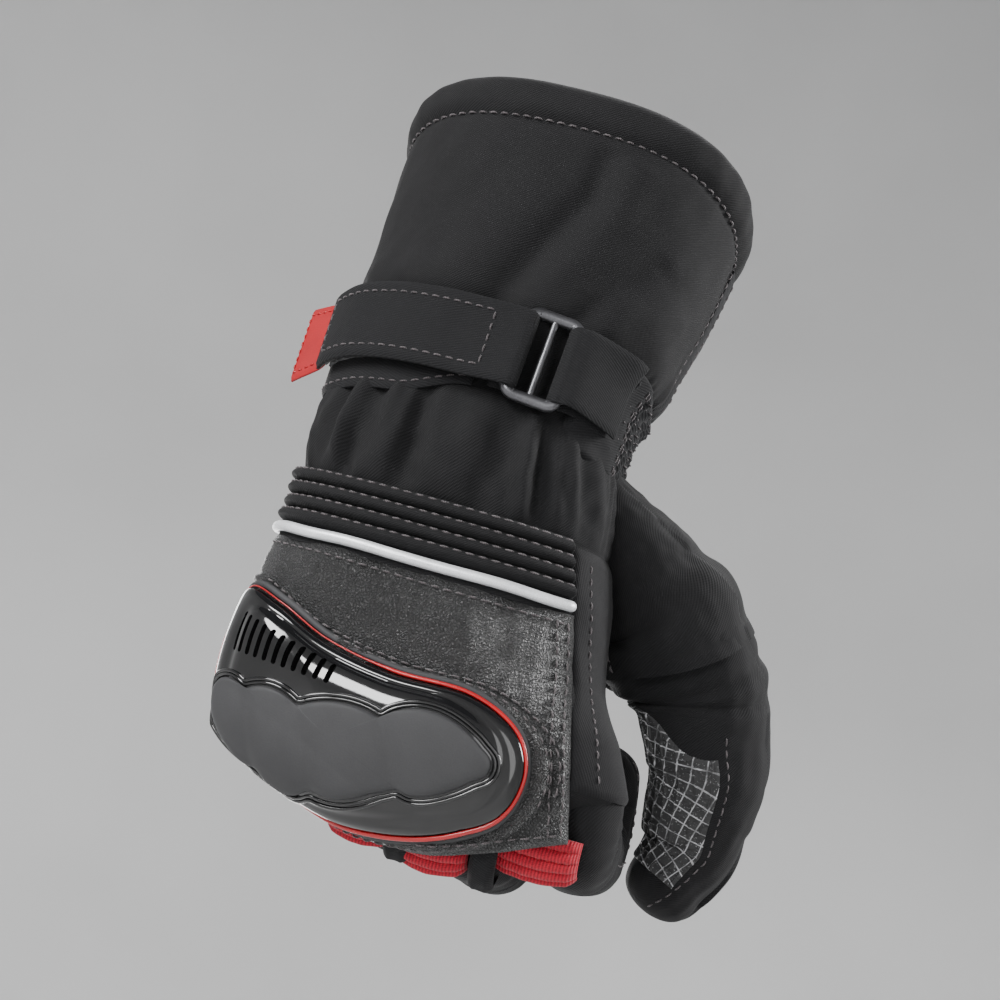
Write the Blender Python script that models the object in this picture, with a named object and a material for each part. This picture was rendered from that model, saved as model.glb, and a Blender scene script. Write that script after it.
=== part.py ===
"""Padded gauntlet glove for skiing, right hand, in a loose fist.

Lengths inside this script are millimetres and become metres where a mesh is made.
The gauntlet stands on +Z with the centre of its mouth at the origin, the back of
the hand looks along -Y and the thumb lies on +X. The hand hangs below the wrist
hinge and is bent WRIST_BEND towards the palm.

Three ways to name a place:
  gauntlet (angle, down, off)  angle round the tube, distance below the rim
  hand     (angle, along, off) angle round the hand, distance past the wrist hinge
  back     (across, along, off) the back of the hand, which rolls over the knuckles
An angle of 0 is the thumb side, 90 the back of the hand, 180 the little finger
side and 270 the palm. "off" is the distance outside the fabric shell.
"""
import math

import bmesh
import bpy
from mathutils import Vector

MM = 0.001

# ---- driving dimensions -------------------------------------------------------
WRIST_DROP = 95.0          # mouth centre to wrist hinge
WRIST_BEND = 17.0          # rest bend of the wrist towards the palm, degrees
RIM_LIFT = 5.5             # the cuff is cut higher over the back of the hand
SECTION_POWER = 2.5        # squareness of every cross-section

SHELL_WALL = 3.0           # padded gauntlet fabric
HAND_WALL = 2.5
GAP = 0.3                  # clearance between touching pieces
PANEL_GAP = 1.0            # a panel's underside over the faceted shell
AROUND = 28                # facets round the two shells

# down, little finger side, thumb side, back, palm
GAUNTLET_SECTIONS = [
    (0.0, -48.5, 48.5, 40.5, -37.0),
    (28.0, -47.5, 46.0, 37.5, -34.5),
    (54.0, -46.0, 41.0, 33.5, -31.0),
    (72.0, -45.0, 35.0, 30.5, -28.0),
    (88.0, -44.0, 35.0, 30.0, -27.0),
]
GAUNTLET_LENGTH = 88.0

# along, little finger side, thumb side, back, palm
HAND_SECTIONS = [
    (-12.0, -43.0, 35.0, 29.0, -25.0),
    (7.0, -43.0, 39.0, 30.0, -26.0),
    (27.0, -44.0, 45.5, 31.5, -27.0),
    (46.0, -46.0, 49.0, 33.0, -23.0),
    (60.0, -46.0, 59.0, 33.0, -6.0),
    (76.0, -45.0, 66.0, 32.0, -3.0),
    (100.0, -40.0, 68.0, 30.5, -3.0),
]
HAND_TOP_BACK = -4.0       # upper edge of the hand shell over the back of the hand
HAND_TOP_PALM = 7.0
KNUCKLE_RADIUS = 15.8      # the back panel rolls over the knuckles on this radius
KNUCKLE_CLEAR = 15.5       # the hand shell stops this far before the knuckle line

# across, along: the line of the four knuckle hinges
KNUCKLE_LINE = [(-46.0, 68.0), (-14.6, 78.5), (8.2, 88.5), (31.5, 90.5), (55.0, 85.0), (70.0, 82.0)]

# finger: across, stall radius, knuckle hinge height, knuckle to middle joint, on to the tip bend
FINGERS = {
    "index": (55.0, 11.3, 12.0, 34.0, 21.0),
    "middle": (31.5, 11.3, 14.0, 37.0, 23.0),
    "ring": (8.2, 11.2, 14.0, 35.0, 22.0),
    "little": (-14.6, 10.9, 12.5, 30.0, 18.0),
}
STALL_WALL = 2.0
STALL_SIDES = 14

# thumb centreline in hand axes: across, along, height, radius
THUMB_ROOT = (60.8, 17.0, -16.0, 15.2)
THUMB_BEND = (74.0, 37.0, -25.0, 16.3)
THUMB_PAD = (80.6, 58.0, -31.0, 15.0)
THUMB_END = (81.0, 80.0, -36.0, 12.6)

# back of the hand, distances along
RIBS_START, RIBS_END, RIB_COUNT = 10.5, 25.5, 4
PIPING_ALONG, PIPING_RADIUS = 27.6, 1.3
LEATHER_START = 29.6
LEATHER_TOP = 2.3
# across, degrees that the leather rolls over the knuckles
LEATHER_ROLL = [(-46.0, 50.0), (2.0, 48.0), (22.0, 32.0), (38.0, 14.0), (56.0, 4.0)]
SEAM_LINE = [(0.0, 31.0), (30.0, 39.0), (57.0, 48.0), (84.0, 55.0), (110.0, 58.0)]

# knuckle guard outline: across, along
GUARD_OUTLINE = [
    (-41.5, 46.5), (-31.0, 48.5), (-16.0, 54.5), (2.0, 57.5), (21.0, 57.5), (34.0, 63.5),
    (38.5, 74.0), (34.5, 86.0), (20.0, 93.5), (0.0, 96.0), (-19.0, 92.5), (-33.0, 85.0),
    (-41.5, 73.5), (-42.8, 58.0),
]
GUARD_CENTRE = (-3.0, 74.0)
GUARD_RISE = 5.2
GUARD_FOOT = 3.2           # height of the guard's lower edge over the fabric
GUARD_WALL = 1.6
FOAM_GAP = 0.8             # between the foam and the underside of the guard
LOBES = 4
VENTS = 11
VENT_WIDTH = 1.2
GUARD_SIDES = 36

# strap and buckle on the gauntlet
STRAP_TOP, STRAP_FOOT = 61.0, 83.0
STRAP_THICK = 1.5
PILE_THICK = 0.7           # hook and loop patches between the strap layers
BUCKLE_ANGLE_X = 11.5      # across position of the buckle
BUCKLE_WIDTH, BUCKLE_HEIGHT, BUCKLE_THICK = 17.0, 27.0, 2.2
BUCKLE_BAR = 1.9
BUCKLE_LEVEL = 5.2         # middle of the buckle over the gauntlet fabric
STANDING_LEVEL = 1.9       # middle of the lower strap layer
FREE_LEVEL = 6.3           # middle of the folded-back layer
TURN_RADIUS = 2.35         # a strap's middle line round one bar of the buckle
TAB_ANGLE = 161.0          # where the pull tab is sewn to the folded-back layer


# ---- small geometry helpers ---------------------------------------------------
def smooth_value(table, x, column=1):
    """Monotone cubic through (x, value, ...) rows, held flat past both ends."""
    xs = [row[0] for row in table]
    ys = [row[column] for row in table]
    if x <= xs[0]:
        return ys[0]
    if x >= xs[-1]:
        return ys[-1]
    slopes = [(ys[i + 1] - ys[i]) / (xs[i + 1] - xs[i]) for i in range(len(xs) - 1)]
    tangents = [slopes[0]]
    for a, b in zip(slopes, slopes[1:]):
        tangents.append(0.0 if a * b <= 0 else 2 * a * b / (a + b))
    tangents.append(slopes[-1])
    i = max(k for k in range(len(xs) - 1) if xs[k] <= x)
    width = xs[i + 1] - xs[i]
    t = (x - xs[i]) / width
    return ((2 * t**3 - 3 * t**2 + 1) * ys[i] + (t**3 - 2 * t**2 + t) * width * tangents[i]
            + (3 * t**2 - 2 * t**3) * ys[i + 1] + (t**3 - t**2) * width * tangents[i + 1])


def steps(start, end, count):
    """count + 1 evenly spaced values from start to end."""
    return [start + (end - start) * i / count for i in range(count + 1)]


def signed_power(value, power):
    return math.copysign(abs(value) ** power, value)


def section_point(table, angle, along, off):
    """Across and height of a point on the cross-section at one distance along."""
    left, right, back, palm = (smooth_value(table, along, c) for c in (1, 2, 3, 4))
    power = 2.0 / SECTION_POWER
    across = (left + right) / 2 + ((right - left) / 2 + off) * signed_power(math.cos(angle), power)
    height = (back + palm) / 2 + ((back - palm) / 2 + off) * signed_power(math.sin(angle), power)
    return across, height


def angle_at(table, across, along):
    """Angle on the back half of the section where it crosses one across position."""
    left, right = (smooth_value(table, along, c) for c in (1, 2))
    ratio = (across - (left + right) / 2) / ((right - left) / 2)
    ratio = max(-0.999, min(0.999, ratio))
    return math.acos(signed_power(ratio, SECTION_POWER / 2))


BEND = math.radians(WRIST_BEND)


def hand_to_world(across, along, height):
    """Hand axes (thumb side, towards the knuckles, out of the back) to the world."""
    return Vector((
        across,
        along * math.sin(BEND) - height * math.cos(BEND),
        -WRIST_DROP - along * math.cos(BEND) - height * math.sin(BEND),
    ))


def gauntlet_point(angle, down, off=0.0):
    across, height = section_point(GAUNTLET_SECTIONS, angle, down, off)
    fade = max(0.0, 1.0 - down / GAUNTLET_LENGTH)
    return Vector((across, -height, -down + RIM_LIFT * math.sin(angle) * fade))


def hand_point(angle, along, off=0.0):
    across, height = section_point(HAND_SECTIONS, angle, along, off)
    return hand_to_world(across, along, height)


def back_point(across, along, off=0.0):
    """Back of the hand, rolling down over the knuckles past the knuckle line."""
    knuckle = smooth_value(KNUCKLE_LINE, across)
    flat = min(along, knuckle)
    angle = angle_at(HAND_SECTIONS, across, flat)
    x, height = section_point(HAND_SECTIONS, angle, flat, off)
    if along <= knuckle:
        return hand_to_world(x, along, height)
    roll = (along - knuckle) / KNUCKLE_RADIUS
    reach = KNUCKLE_RADIUS + off
    centre = height - reach
    return hand_to_world(x, knuckle + reach * math.sin(roll), centre + reach * math.cos(roll))


# ---- scene helpers ------------------------------------------------------------
def clear_scene():
    for obj in list(bpy.data.objects):
        bpy.data.objects.remove(obj, do_unlink=True)


def material(name, colour, roughness, metallic=0.0):
    mat = bpy.data.materials.new(name)
    mat.use_nodes = True
    shader = mat.node_tree.nodes["Principled BSDF"]
    shader.inputs["Base Color"].default_value = (*colour, 1.0)
    shader.inputs["Roughness"].default_value = roughness
    shader.inputs["Metallic"].default_value = metallic
    return mat


class Pivot:
    """An empty on a joint's axis, which carries the pieces of one moving body."""

    def __init__(self, name, place, parent=None):
        self.place = Vector(place)
        self.empty = bpy.data.objects.new(name, None)
        self.empty.empty_display_size = 0.01
        bpy.context.scene.collection.objects.link(self.empty)
        base = parent.place if parent else Vector((0.0, 0.0, 0.0))
        self.empty.location = (self.place - base) * MM
        if parent:
            self.empty.parent = parent.empty


def add_piece(name, points, faces, mat, pivot):
    """Make one closed mesh object, placed relative to its body's pivot."""
    mesh = bpy.data.meshes.new(name)
    mesh.from_pydata([(Vector(p) - pivot.place) * MM for p in points], [], faces)
    tidy = bmesh.new()
    tidy.from_mesh(mesh)
    bmesh.ops.recalc_face_normals(tidy, faces=tidy.faces)
    tidy.to_mesh(mesh)
    tidy.free()
    mesh.materials.append(mat)
    mesh.shade_smooth()
    mesh.set_sharp_from_angle(angle=math.radians(40))
    obj = bpy.data.objects.new(name, mesh)
    bpy.context.scene.collection.objects.link(obj)
    obj.parent = pivot.empty
    return obj


def sheet_solid(name, outer, inner, mat, pivot, ring=False):
    """Closed solid between two matching grids of points, open or closed round.

    Both grids are split along the same diagonals, so nested layers stay apart.
    """
    rows, cols = len(outer), len(outer[0])
    points = [p for row in outer for p in row] + [p for row in inner for p in row]
    half = rows * cols
    faces = []
    spans = cols if ring else cols - 1
    for r in range(rows - 1):
        for c in range(spans):
            d = (c + 1) % cols
            near, far = (r * cols + c, r * cols + d), ((r + 1) * cols + d, (r + 1) * cols + c)
            for triangle in ((near[0], near[1], far[0]), (near[0], far[0], far[1])):
                faces.append(triangle)
                faces.append(tuple(half + i for i in reversed(triangle)))
    for c in range(spans):
        d = (c + 1) % cols
        last = (rows - 1) * cols
        faces.append((d, c, half + c, half + d))
        faces.append((last + c, last + d, half + last + d, half + last + c))
    if not ring:
        for r in range(rows - 1):
            a, b = r * cols, (r + 1) * cols
            faces.append((a, b, half + b, half + a))
            a, b = a + cols - 1, b + cols - 1
            faces.append((b, a, half + a, half + b))
    return add_piece(name, points, faces, mat, pivot)


def patch(name, surface, us, vs, low, high, mat, pivot, ring=False):
    """Thin panel on a surface between two offsets; offsets may be functions of u, v."""
    def lift(value, u, v):
        return value(u, v) if callable(value) else value
    outer = [[surface(u, v, lift(high, u, v)) for u in us] for v in vs]
    inner = [[surface(u, v, lift(low, u, v)) for u in us] for v in vs]
    return sheet_solid(name, outer, inner, mat, pivot, ring)


def ring_solid(name, loops, mat, pivot):
    """Closed ring: each loop is one cross-section, and the last joins the first."""
    sides = len(loops[0])
    points = [p for loop in loops for p in loop]
    faces = []
    for i in range(len(loops)):
        j = (i + 1) % len(loops)
        for c in range(sides):
            d = (c + 1) % sides
            faces.append((i * sides + c, i * sides + d, j * sides + d, j * sides + c))
    return add_piece(name, points, faces, mat, pivot)


def tube_solid(name, loops, mat, pivot):
    """Solid through a row of loops, with flat end caps."""
    sides = len(loops[0])
    points = [p for loop in loops for p in loop]
    faces = [tuple(range(sides)), tuple((len(loops) - 1) * sides + c for c in range(sides))]
    for i in range(len(loops) - 1):
        for c in range(sides):
            d = (c + 1) % sides
            faces.append((i * sides + c, i * sides + d, (i + 1) * sides + d, (i + 1) * sides + c))
    return add_piece(name, points, faces, mat, pivot)


def circle(centre, heading, radius, sides, level=Vector((1.0, 0.0, 0.0))):
    """Ring of points square to a heading; level fixes where the ring starts."""
    heading = heading.normalized()
    first = (level - heading * level.dot(heading)).normalized()
    second = heading.cross(first)
    turns = [2 * math.pi * i / sides for i in range(sides)]
    return [centre + first * (radius * math.cos(t)) + second * (radius * math.sin(t)) for t in turns]


def cord_loops(path, radius, sides, closed):
    """Cross-sections of a thin cord along a path."""
    loops = []
    count = len(path)
    for i, place in enumerate(path):
        before = path[(i - 1) % count] if closed or i else place
        after = path[(i + 1) % count] if closed or i < count - 1 else place
        loops.append(circle(place, after - before, radius, sides, Vector((0.3, -1.0, 0.2))))
    return loops


def stall(name, stations, wall, mat, pivot, closed_tip, mouth):
    """Hollow finger or thumb stall. Stations are (centre, heading, radius).

    The open end is the mouth ring of a ball round the first station, so the
    stall can turn about that point beside its neighbour.
    """
    def rings(shrink):
        loops = []
        centre, heading, radius = stations[0]
        radius -= shrink
        for part in (mouth, (mouth + 90.0) / 2):
            beta = math.radians(part)
            start = centre - heading.normalized() * (radius * math.cos(beta))
            loops.append(circle(start, heading, radius * math.sin(beta), STALL_SIDES))
        for centre, heading, radius in stations:
            loops.append(circle(centre, heading, radius - shrink, STALL_SIDES))
        if closed_tip:
            centre, heading, radius = stations[-1]
            radius -= shrink
            for part in (35.0, 65.0):
                beta = math.radians(part)
                place = centre + heading.normalized() * (radius * math.sin(beta))
                loops.append(circle(place, heading, radius * math.cos(beta), STALL_SIDES))
        return loops

    outer, inner = rings(0.0), rings(wall)
    points = [p for loop in outer + inner for p in loop]
    sides, count = STALL_SIDES, len(outer)
    half = count * sides
    faces = []
    for i in range(count - 1):
        for c in range(sides):
            d = (c + 1) % sides
            quad = (i * sides + c, i * sides + d, (i + 1) * sides + d, (i + 1) * sides + c)
            faces.append(quad)
            faces.append(tuple(half + k for k in reversed(quad)))
    last = (count - 1) * sides
    for c in range(sides):
        d = (c + 1) % sides
        faces.append((c, d, half + d, half + c))
        if not closed_tip:
            faces.append((last + c, last + d, half + last + d, half + last + c))
    if closed_tip:
        faces.append(tuple(last + c for c in range(sides)))
        faces.append(tuple(half + last + c for c in range(sides)))
    return add_piece(name, points, faces, mat, pivot)


def cut(target, cutters):
    """Take cutters away from a piece; the cutters stay as hidden wire guides."""
    for number, cutter in enumerate(cutters):
        cutter.hide_render = True
        cutter.display_type = "WIRE"
        modifier = target.modifiers.new(f"cut_{number}", "BOOLEAN")
        modifier.operation = "DIFFERENCE"
        modifier.object = cutter


def box_piece(name, centre, axes, sizes, mat, pivot):
    """Box with its own axes, used for cutters and bars."""
    points = []
    for i in (-0.5, 0.5):
        for j in (-0.5, 0.5):
            for k in (-0.5, 0.5):
                points.append(centre + axes[0] * (i * sizes[0]) + axes[1] * (j * sizes[1])
                              + axes[2] * (k * sizes[2]))
    faces = [(0, 1, 3, 2), (4, 6, 7, 5), (0, 4, 5, 1), (2, 3, 7, 6), (0, 2, 6, 4), (1, 5, 7, 3)]
    return add_piece(name, points, faces, mat, pivot)


# ---- gauntlet -----------------------------------------------------------------
def full_turn(count):
    return [2 * math.pi * i / count for i in range(count)]


def degrees_row(start, end, count):
    return [math.radians(a) for a in steps(start, end, count)]


def build_gauntlet(mats, body):
    around = full_turn(AROUND)
    downs = [0.0, 16.0, 32.0, 46.0, 60.0, 74.0, GAUNTLET_LENGTH]
    patch("gauntlet_shell", gauntlet_point, around, downs, -SHELL_WALL, 0.0,
          mats["softshell"], body, ring=True)
    lining_off = -SHELL_WALL - GAP
    patch("gauntlet_lining", gauntlet_point, around, [1.5, 16.0, 32.0, 46.0, 60.0, 68.0],
          lining_off - 0.9, lining_off, mats["lining"], body, ring=True)
    hem = [(2.0, 8.5), (2.2, 1.0), (0.7, -2.0), (-1.5, -2.6), (-3.2, -2.0), (-3.2, -GAP), (GAP, -GAP),
           (GAP, 8.5)]
    loops = [[gauntlet_point(a, down, off) for off, down in hem] for a in around]
    ring_solid("hem_binding", loops, mats["softshell"], body)

    thumb_side = around[-7:] + [2 * math.pi]
    patch("wrist_elastic", gauntlet_point, thumb_side, [62.0, 68.0, 74.0, 80.0, 86.0],
          PANEL_GAP + 0.5, 2.8, mats["elastic"], body)
    patch("palm_side_panel", gauntlet_point, thumb_side[2:], [11.0, 16.0, 32.0, 46.0, 59.0],
          PANEL_GAP, 1.9, mats["softshell"], body)


def strap_strip(name, route, top, foot, thick, mat, pivot):
    """Strap along a route of (angle, off) places, offset square to the route.

    A place of three values, ("buckle", along, out), is given in the buckle's own axes.
    """
    centre, ahead, out, _ = buckle_axes()

    def strap_place(place, down):
        if place[0] != "buckle":
            return gauntlet_point(place[0], down, place[1])
        spot = centre + ahead * place[1] + out * place[2]
        return Vector((spot.x, spot.y, gauntlet_point(math.pi / 2, down).z))

    def edges(down):
        middle = [strap_place(place, down) for place in route]
        one, two = [], []
        for i, place in enumerate(middle):
            before, after = middle[max(i - 1, 0)], middle[min(i + 1, len(middle) - 1)]
            side = (after - before).cross(Vector((0.0, 0.0, 1.0))).normalized() * (thick / 2)
            one.append(place + side)
            two.append(place - side)
        return one, two
    rows = [edges(d) for d in (top, foot)]
    outer = [row[0] for row in rows]
    inner = [row[1] for row in rows]
    return sheet_solid(name, outer, inner, mat, pivot)


def strap_angle(across):
    return angle_at(GAUNTLET_SECTIONS, across, (STRAP_TOP + STRAP_FOOT) / 2)


def buckle_axes():
    """Centre of the buckle and its axes: along the strap, out of the wrist, up."""
    middle = (STRAP_TOP + STRAP_FOOT) / 2
    angle = strap_angle(BUCKLE_ANGLE_X)
    centre = gauntlet_point(angle, middle, BUCKLE_LEVEL)
    ahead = gauntlet_point(strap_angle(BUCKLE_ANGLE_X + 4.0), middle, BUCKLE_LEVEL)
    along = ahead - gauntlet_point(strap_angle(BUCKLE_ANGLE_X - 4.0), middle, BUCKLE_LEVEL)
    along.z = 0.0
    along.normalize()
    up = Vector((0.0, 0.0, 1.0))
    return centre, along, along.cross(up), up


def build_strap(mats, body, buckle_body, end_body, tab_body):
    top, foot = STRAP_TOP, STRAP_FOOT
    lower = [(math.radians(a), STANDING_LEVEL) for a in steps(250.0, 150.0, 10)]
    lower += [(strap_angle(x), STANDING_LEVEL) for x in (-34.0, -26.0, -17.0, -8.0, -3.0)]
    strap_strip("strap_standing_part", lower, top, foot, STRAP_THICK, mats["webbing"], body)

    bar = BUCKLE_BAR / 2 - BUCKLE_WIDTH / 2
    turn = [math.radians(a) for a in steps(-90.0, 90.0, 5)]
    loop = [("buckle", bar - 4.0, -TURN_RADIUS)]
    loop += [("buckle", bar + TURN_RADIUS * math.cos(t), TURN_RADIUS * math.sin(t)) for t in turn]
    upper = [(strap_angle(x), FREE_LEVEL) for x in (-7.0, -16.0, -25.0, -33.0, -37.5)]
    upper += [(math.radians(a), FREE_LEVEL) for a in (150.0, 155.0, 160.0)]
    strap_strip("strap_free_end", loop + upper, top + 0.5, foot - 0.5, STRAP_THICK,
                mats["webbing"], end_body)
    places = [(strap_angle(x), 0.0) for x in (-10.0, -19.0, -28.0, -35.0)]
    places += [(math.radians(a), 0.0) for a in (148.0, 153.0, 158.0)]
    half = STRAP_THICK / 2 + GAP + 0.2 + PILE_THICK / 2
    strap_strip("loop_patch", [(a, STANDING_LEVEL + half) for a, _ in places], top + 2.0, foot - 2.0,
                PILE_THICK, mats["loop_pile"], body)
    strap_strip("hook_patch", [(a, FREE_LEVEL - half) for a, _ in places], top + 2.0, foot - 2.0,
                PILE_THICK, mats["hook_pile"], end_body)
    tab = [(math.radians(a), off) for a, off in ((162.2, 6.4), (165.0, 7.4), (169.0, 9.2), (173.0, 11.4))]
    strap_strip("pull_tab", tab, top + 1.0, foot - 1.0, 1.3, mats["red_rubber"], tab_body)

    centre, along, out, up = buckle_axes()
    frame = box_piece("buckle", centre, (along, out, up),
                      (BUCKLE_WIDTH, BUCKLE_THICK, BUCKLE_HEIGHT), mats["gunmetal"], buckle_body)
    bevel = frame.modifiers.new("round_edges", "BEVEL")
    bevel.width = 0.7 * MM
    bevel.segments = 2
    slot_width = (BUCKLE_WIDTH - 3 * BUCKLE_BAR) / 2
    slots = []
    for side in (-1, 1):
        place = centre + along * (side * (slot_width + BUCKLE_BAR) / 2)
        slots.append(box_piece(f"slot_cutter_{side + 1}", place, (along, out, up),
                               (slot_width, 6.0, BUCKLE_HEIGHT - 2 * BUCKLE_BAR),
                               mats["gunmetal"], buckle_body))
    cut(frame, slots)

    loop = [(strap_angle(30.0), 5.2), (strap_angle(27.5), 4.8), ("buckle", 4.0 - bar, -TURN_RADIUS)]
    loop += [("buckle", -bar - TURN_RADIUS * math.cos(t), TURN_RADIUS * math.sin(t)) for t in turn]
    loop += [("buckle", 4.5 - bar, TURN_RADIUS - 0.1), (strap_angle(27.5), 7.2), (strap_angle(30.0), 7.4)]
    strap_strip("anchor_loop", loop, top + 0.5, foot - 0.5, 1.2, mats["webbing"], body)
    patch("anchor_tab", gauntlet_point, full_turn(AROUND)[1:5], [61.0, 67.0, 74.0, 80.0, 87.0], PANEL_GAP,
          1.7, mats["softshell"], body)


# ---- hand ---------------------------------------------------------------------
def hand_edge(angle, share):
    """Along position from the upper edge of the hand shell to its knuckle end."""
    top = HAND_TOP_PALM + (HAND_TOP_BACK - HAND_TOP_PALM) * (0.5 + 0.5 * math.sin(angle))
    across = section_point(HAND_SECTIONS, angle, 70.0, 0.0)[0]
    end = smooth_value(KNUCKLE_LINE, across) - KNUCKLE_CLEAR
    return top + (end - top) * share


def shell_point(angle, share, off):
    return hand_point(angle, hand_edge(angle, share), off)


def seam_across(along):
    return smooth_value(SEAM_LINE, along)


def build_hand(mats, body):
    around = full_turn(AROUND)
    shares = [0.0, 0.15, 0.3, 0.42, 0.52, 0.62, 0.73, 0.86, 1.0]
    patch("hand_shell", shell_point, around, shares, -HAND_WALL, 0.0, mats["softshell"], body, ring=True)
    lining = -HAND_WALL - GAP
    patch("hand_lining", shell_point, around, shares[2:-1], lining - 0.8, lining, mats["lining"], body,
          ring=True)

    def sleeve_point(angle, along, off):
        shrink = 7.5 if along < 4.0 else HAND_WALL + 1.0
        return hand_point(angle, along, off - shrink)
    patch("wrist_sleeve", sleeve_point, around, [-6.0, 1.0, 7.0, 10.0], -1.2, 0.0, mats["lining"], body,
          ring=True)

    def wrist_panel_point(angle, share, off):
        top = hand_edge(angle, 0.0) + 0.5
        return hand_point(angle, top + (RIBS_START - 0.4 - top) * share, off)
    patch("wrist_back_panel", wrist_panel_point, degrees_row(40.0, 172.0, 10), steps(0.0, 1.0, 2),
          PANEL_GAP, 2.0, mats["softshell"], body)

    rib_height = (RIBS_END - RIBS_START) / RIB_COUNT

    def rib_rise(_, along):
        phase = (along - RIBS_START) / rib_height
        return 1.9 + 1.8 * abs(math.sin(math.pi * phase))
    panel_angles = degrees_row(40.0, 172.0, 10)
    patch("accordion_panel", hand_point, panel_angles, steps(RIBS_START, RIBS_END, RIB_COUNT * 2),
          PANEL_GAP, rib_rise, mats["softshell"], body)

    path = [hand_point(a, PIPING_ALONG, PANEL_GAP + PIPING_RADIUS) for a in degrees_row(40.0, 172.0, 15)]
    tube_solid("reflective_piping", cord_loops(path, PIPING_RADIUS, 6, False), mats["reflective"], body)

    def leather_point(u, v, off):
        """u runs 0 at the little finger edge to 1 at the thumb side seam."""
        length = 54.0
        left = smooth_value(HAND_SECTIONS, LEATHER_START + v * length, 1) + 0.7
        across = left + (seam_across(LEATHER_START + v * length) - left) * u
        roll = math.radians(smooth_value(LEATHER_ROLL, across))
        end = smooth_value(KNUCKLE_LINE, across) + KNUCKLE_RADIUS * roll
        return back_point(across, LEATHER_START + (end - LEATHER_START) * v, off)
    across_shares = [0.0, 0.015, 0.05, 0.11, 0.2, 0.32, 0.44, 0.56, 0.68, 0.79, 0.9, 1.0]
    patch("leather_back_panel", leather_point, across_shares, steps(0.0, 1.0, 11), PANEL_GAP,
          LEATHER_TOP, mats["leather"], body)

    patch("palm_patch", shell_point, around[15:26], shares[2:-1], PANEL_GAP, 1.9, mats["leather"], body)
    patch("heel_pad", shell_point, around[16:20], shares[2:5], 2.3, 4.2, mats["leather"], body)

    def gusset_point(u, along, off):
        seam = angle_at(HAND_SECTIONS, seam_across(along), along)
        return hand_point(seam - math.radians(4.0) + u * (math.radians(-30.0) - seam), along, off)
    patch("side_gusset", gusset_point, [0.0, 0.2, 0.4, 0.6, 0.8], steps(9.0, 62.0, 6), PANEL_GAP + 0.7, 2.4,
          mats["softshell"], body)


def guard_place(share, turn):
    """Across and along of a place inside the guard's outline: 0 centre, 1 edge."""
    count = len(GUARD_OUTLINE)
    position = (turn % 1.0) * count
    i = int(position) % count
    t = position - int(position)
    p = [GUARD_OUTLINE[(i + k - 1) % count] for k in range(4)]
    edge = []
    for axis in (0, 1):
        a, b, c, d = (q[axis] for q in p)
        edge.append(0.5 * ((2 * b) + (c - a) * t + (2 * a - 5 * b + 4 * c - d) * t * t
                           + (3 * b - a - 3 * c + d) * t**3))
    return tuple(GUARD_CENTRE[k] + share * (edge[k] - GUARD_CENTRE[k]) for k in (0, 1))


def guard_height(share):
    """Outer height of the guard over the fabric: steep at its edge, flat on top."""
    return GUARD_FOOT + GUARD_WALL + GUARD_RISE * max(0.0, 1.0 - share**2.6) ** 0.75


def guard_heading(place):
    return math.atan2(place[1] - GUARD_CENTRE[1], place[0] - GUARD_CENTRE[0])


def guard_share(across, along):
    """How far out a place lies inside the guard, from 0 at the centre to 1."""
    target = guard_heading((across, along))

    def miss(turn):
        gap = guard_heading(guard_place(1.0, turn)) - target
        return abs((gap + math.pi) % (2 * math.pi) - math.pi)
    edge = guard_place(1.0, min((i / 120 for i in range(120)), key=miss))
    full = math.hypot(edge[0] - GUARD_CENTRE[0], edge[1] - GUARD_CENTRE[1])
    return math.hypot(across - GUARD_CENTRE[0], along - GUARD_CENTRE[1]) / full


def guard_point(share, turn, off):
    across, along = guard_place(share, turn)
    return back_point(across, along, off)


def solid_dome(name, point, turns, shares, low, high, mat, pivot):
    """Closed cap over a round grid: one centre point and rings out to the edge."""
    points, faces = [], []
    for offset in (high, low):
        points.append(point(0.0, 0.0, offset(0.0)))
        for share in shares:
            points += [point(share, turn, offset(share)) for turn in turns]
    count, rings = len(turns), len(shares)
    half = 1 + count * rings
    for c in range(count):
        d = (c + 1) % count
        for base in (0, half):
            faces.append((base, base + 1 + c, base + 1 + d))
            for r in range(rings - 1):
                a, b = base + 1 + r * count, base + 1 + (r + 1) * count
                faces.append((a + c, a + d, b + d, b + c))
        edge = 1 + (rings - 1) * count
        faces.append((edge + c, edge + d, half + edge + d, half + edge + c))
    return add_piece(name, points, faces, mat, pivot)


def insert_place(share, turn):
    """Outline of the four-lobed insert: a long oval with a wave on both sides."""
    angle = 2 * math.pi * turn
    reach = 32.0
    x = reach * signed_power(math.cos(angle), 0.85)
    wave = 1.0 + 0.13 * math.cos(LOBES * math.pi * (x / reach + 1.0) + math.pi)
    y = 10.6 * signed_power(math.sin(angle), 0.75) * wave
    return (-7.0 + share * x, 79.5 + share * (y - 0.02 * x))


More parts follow.
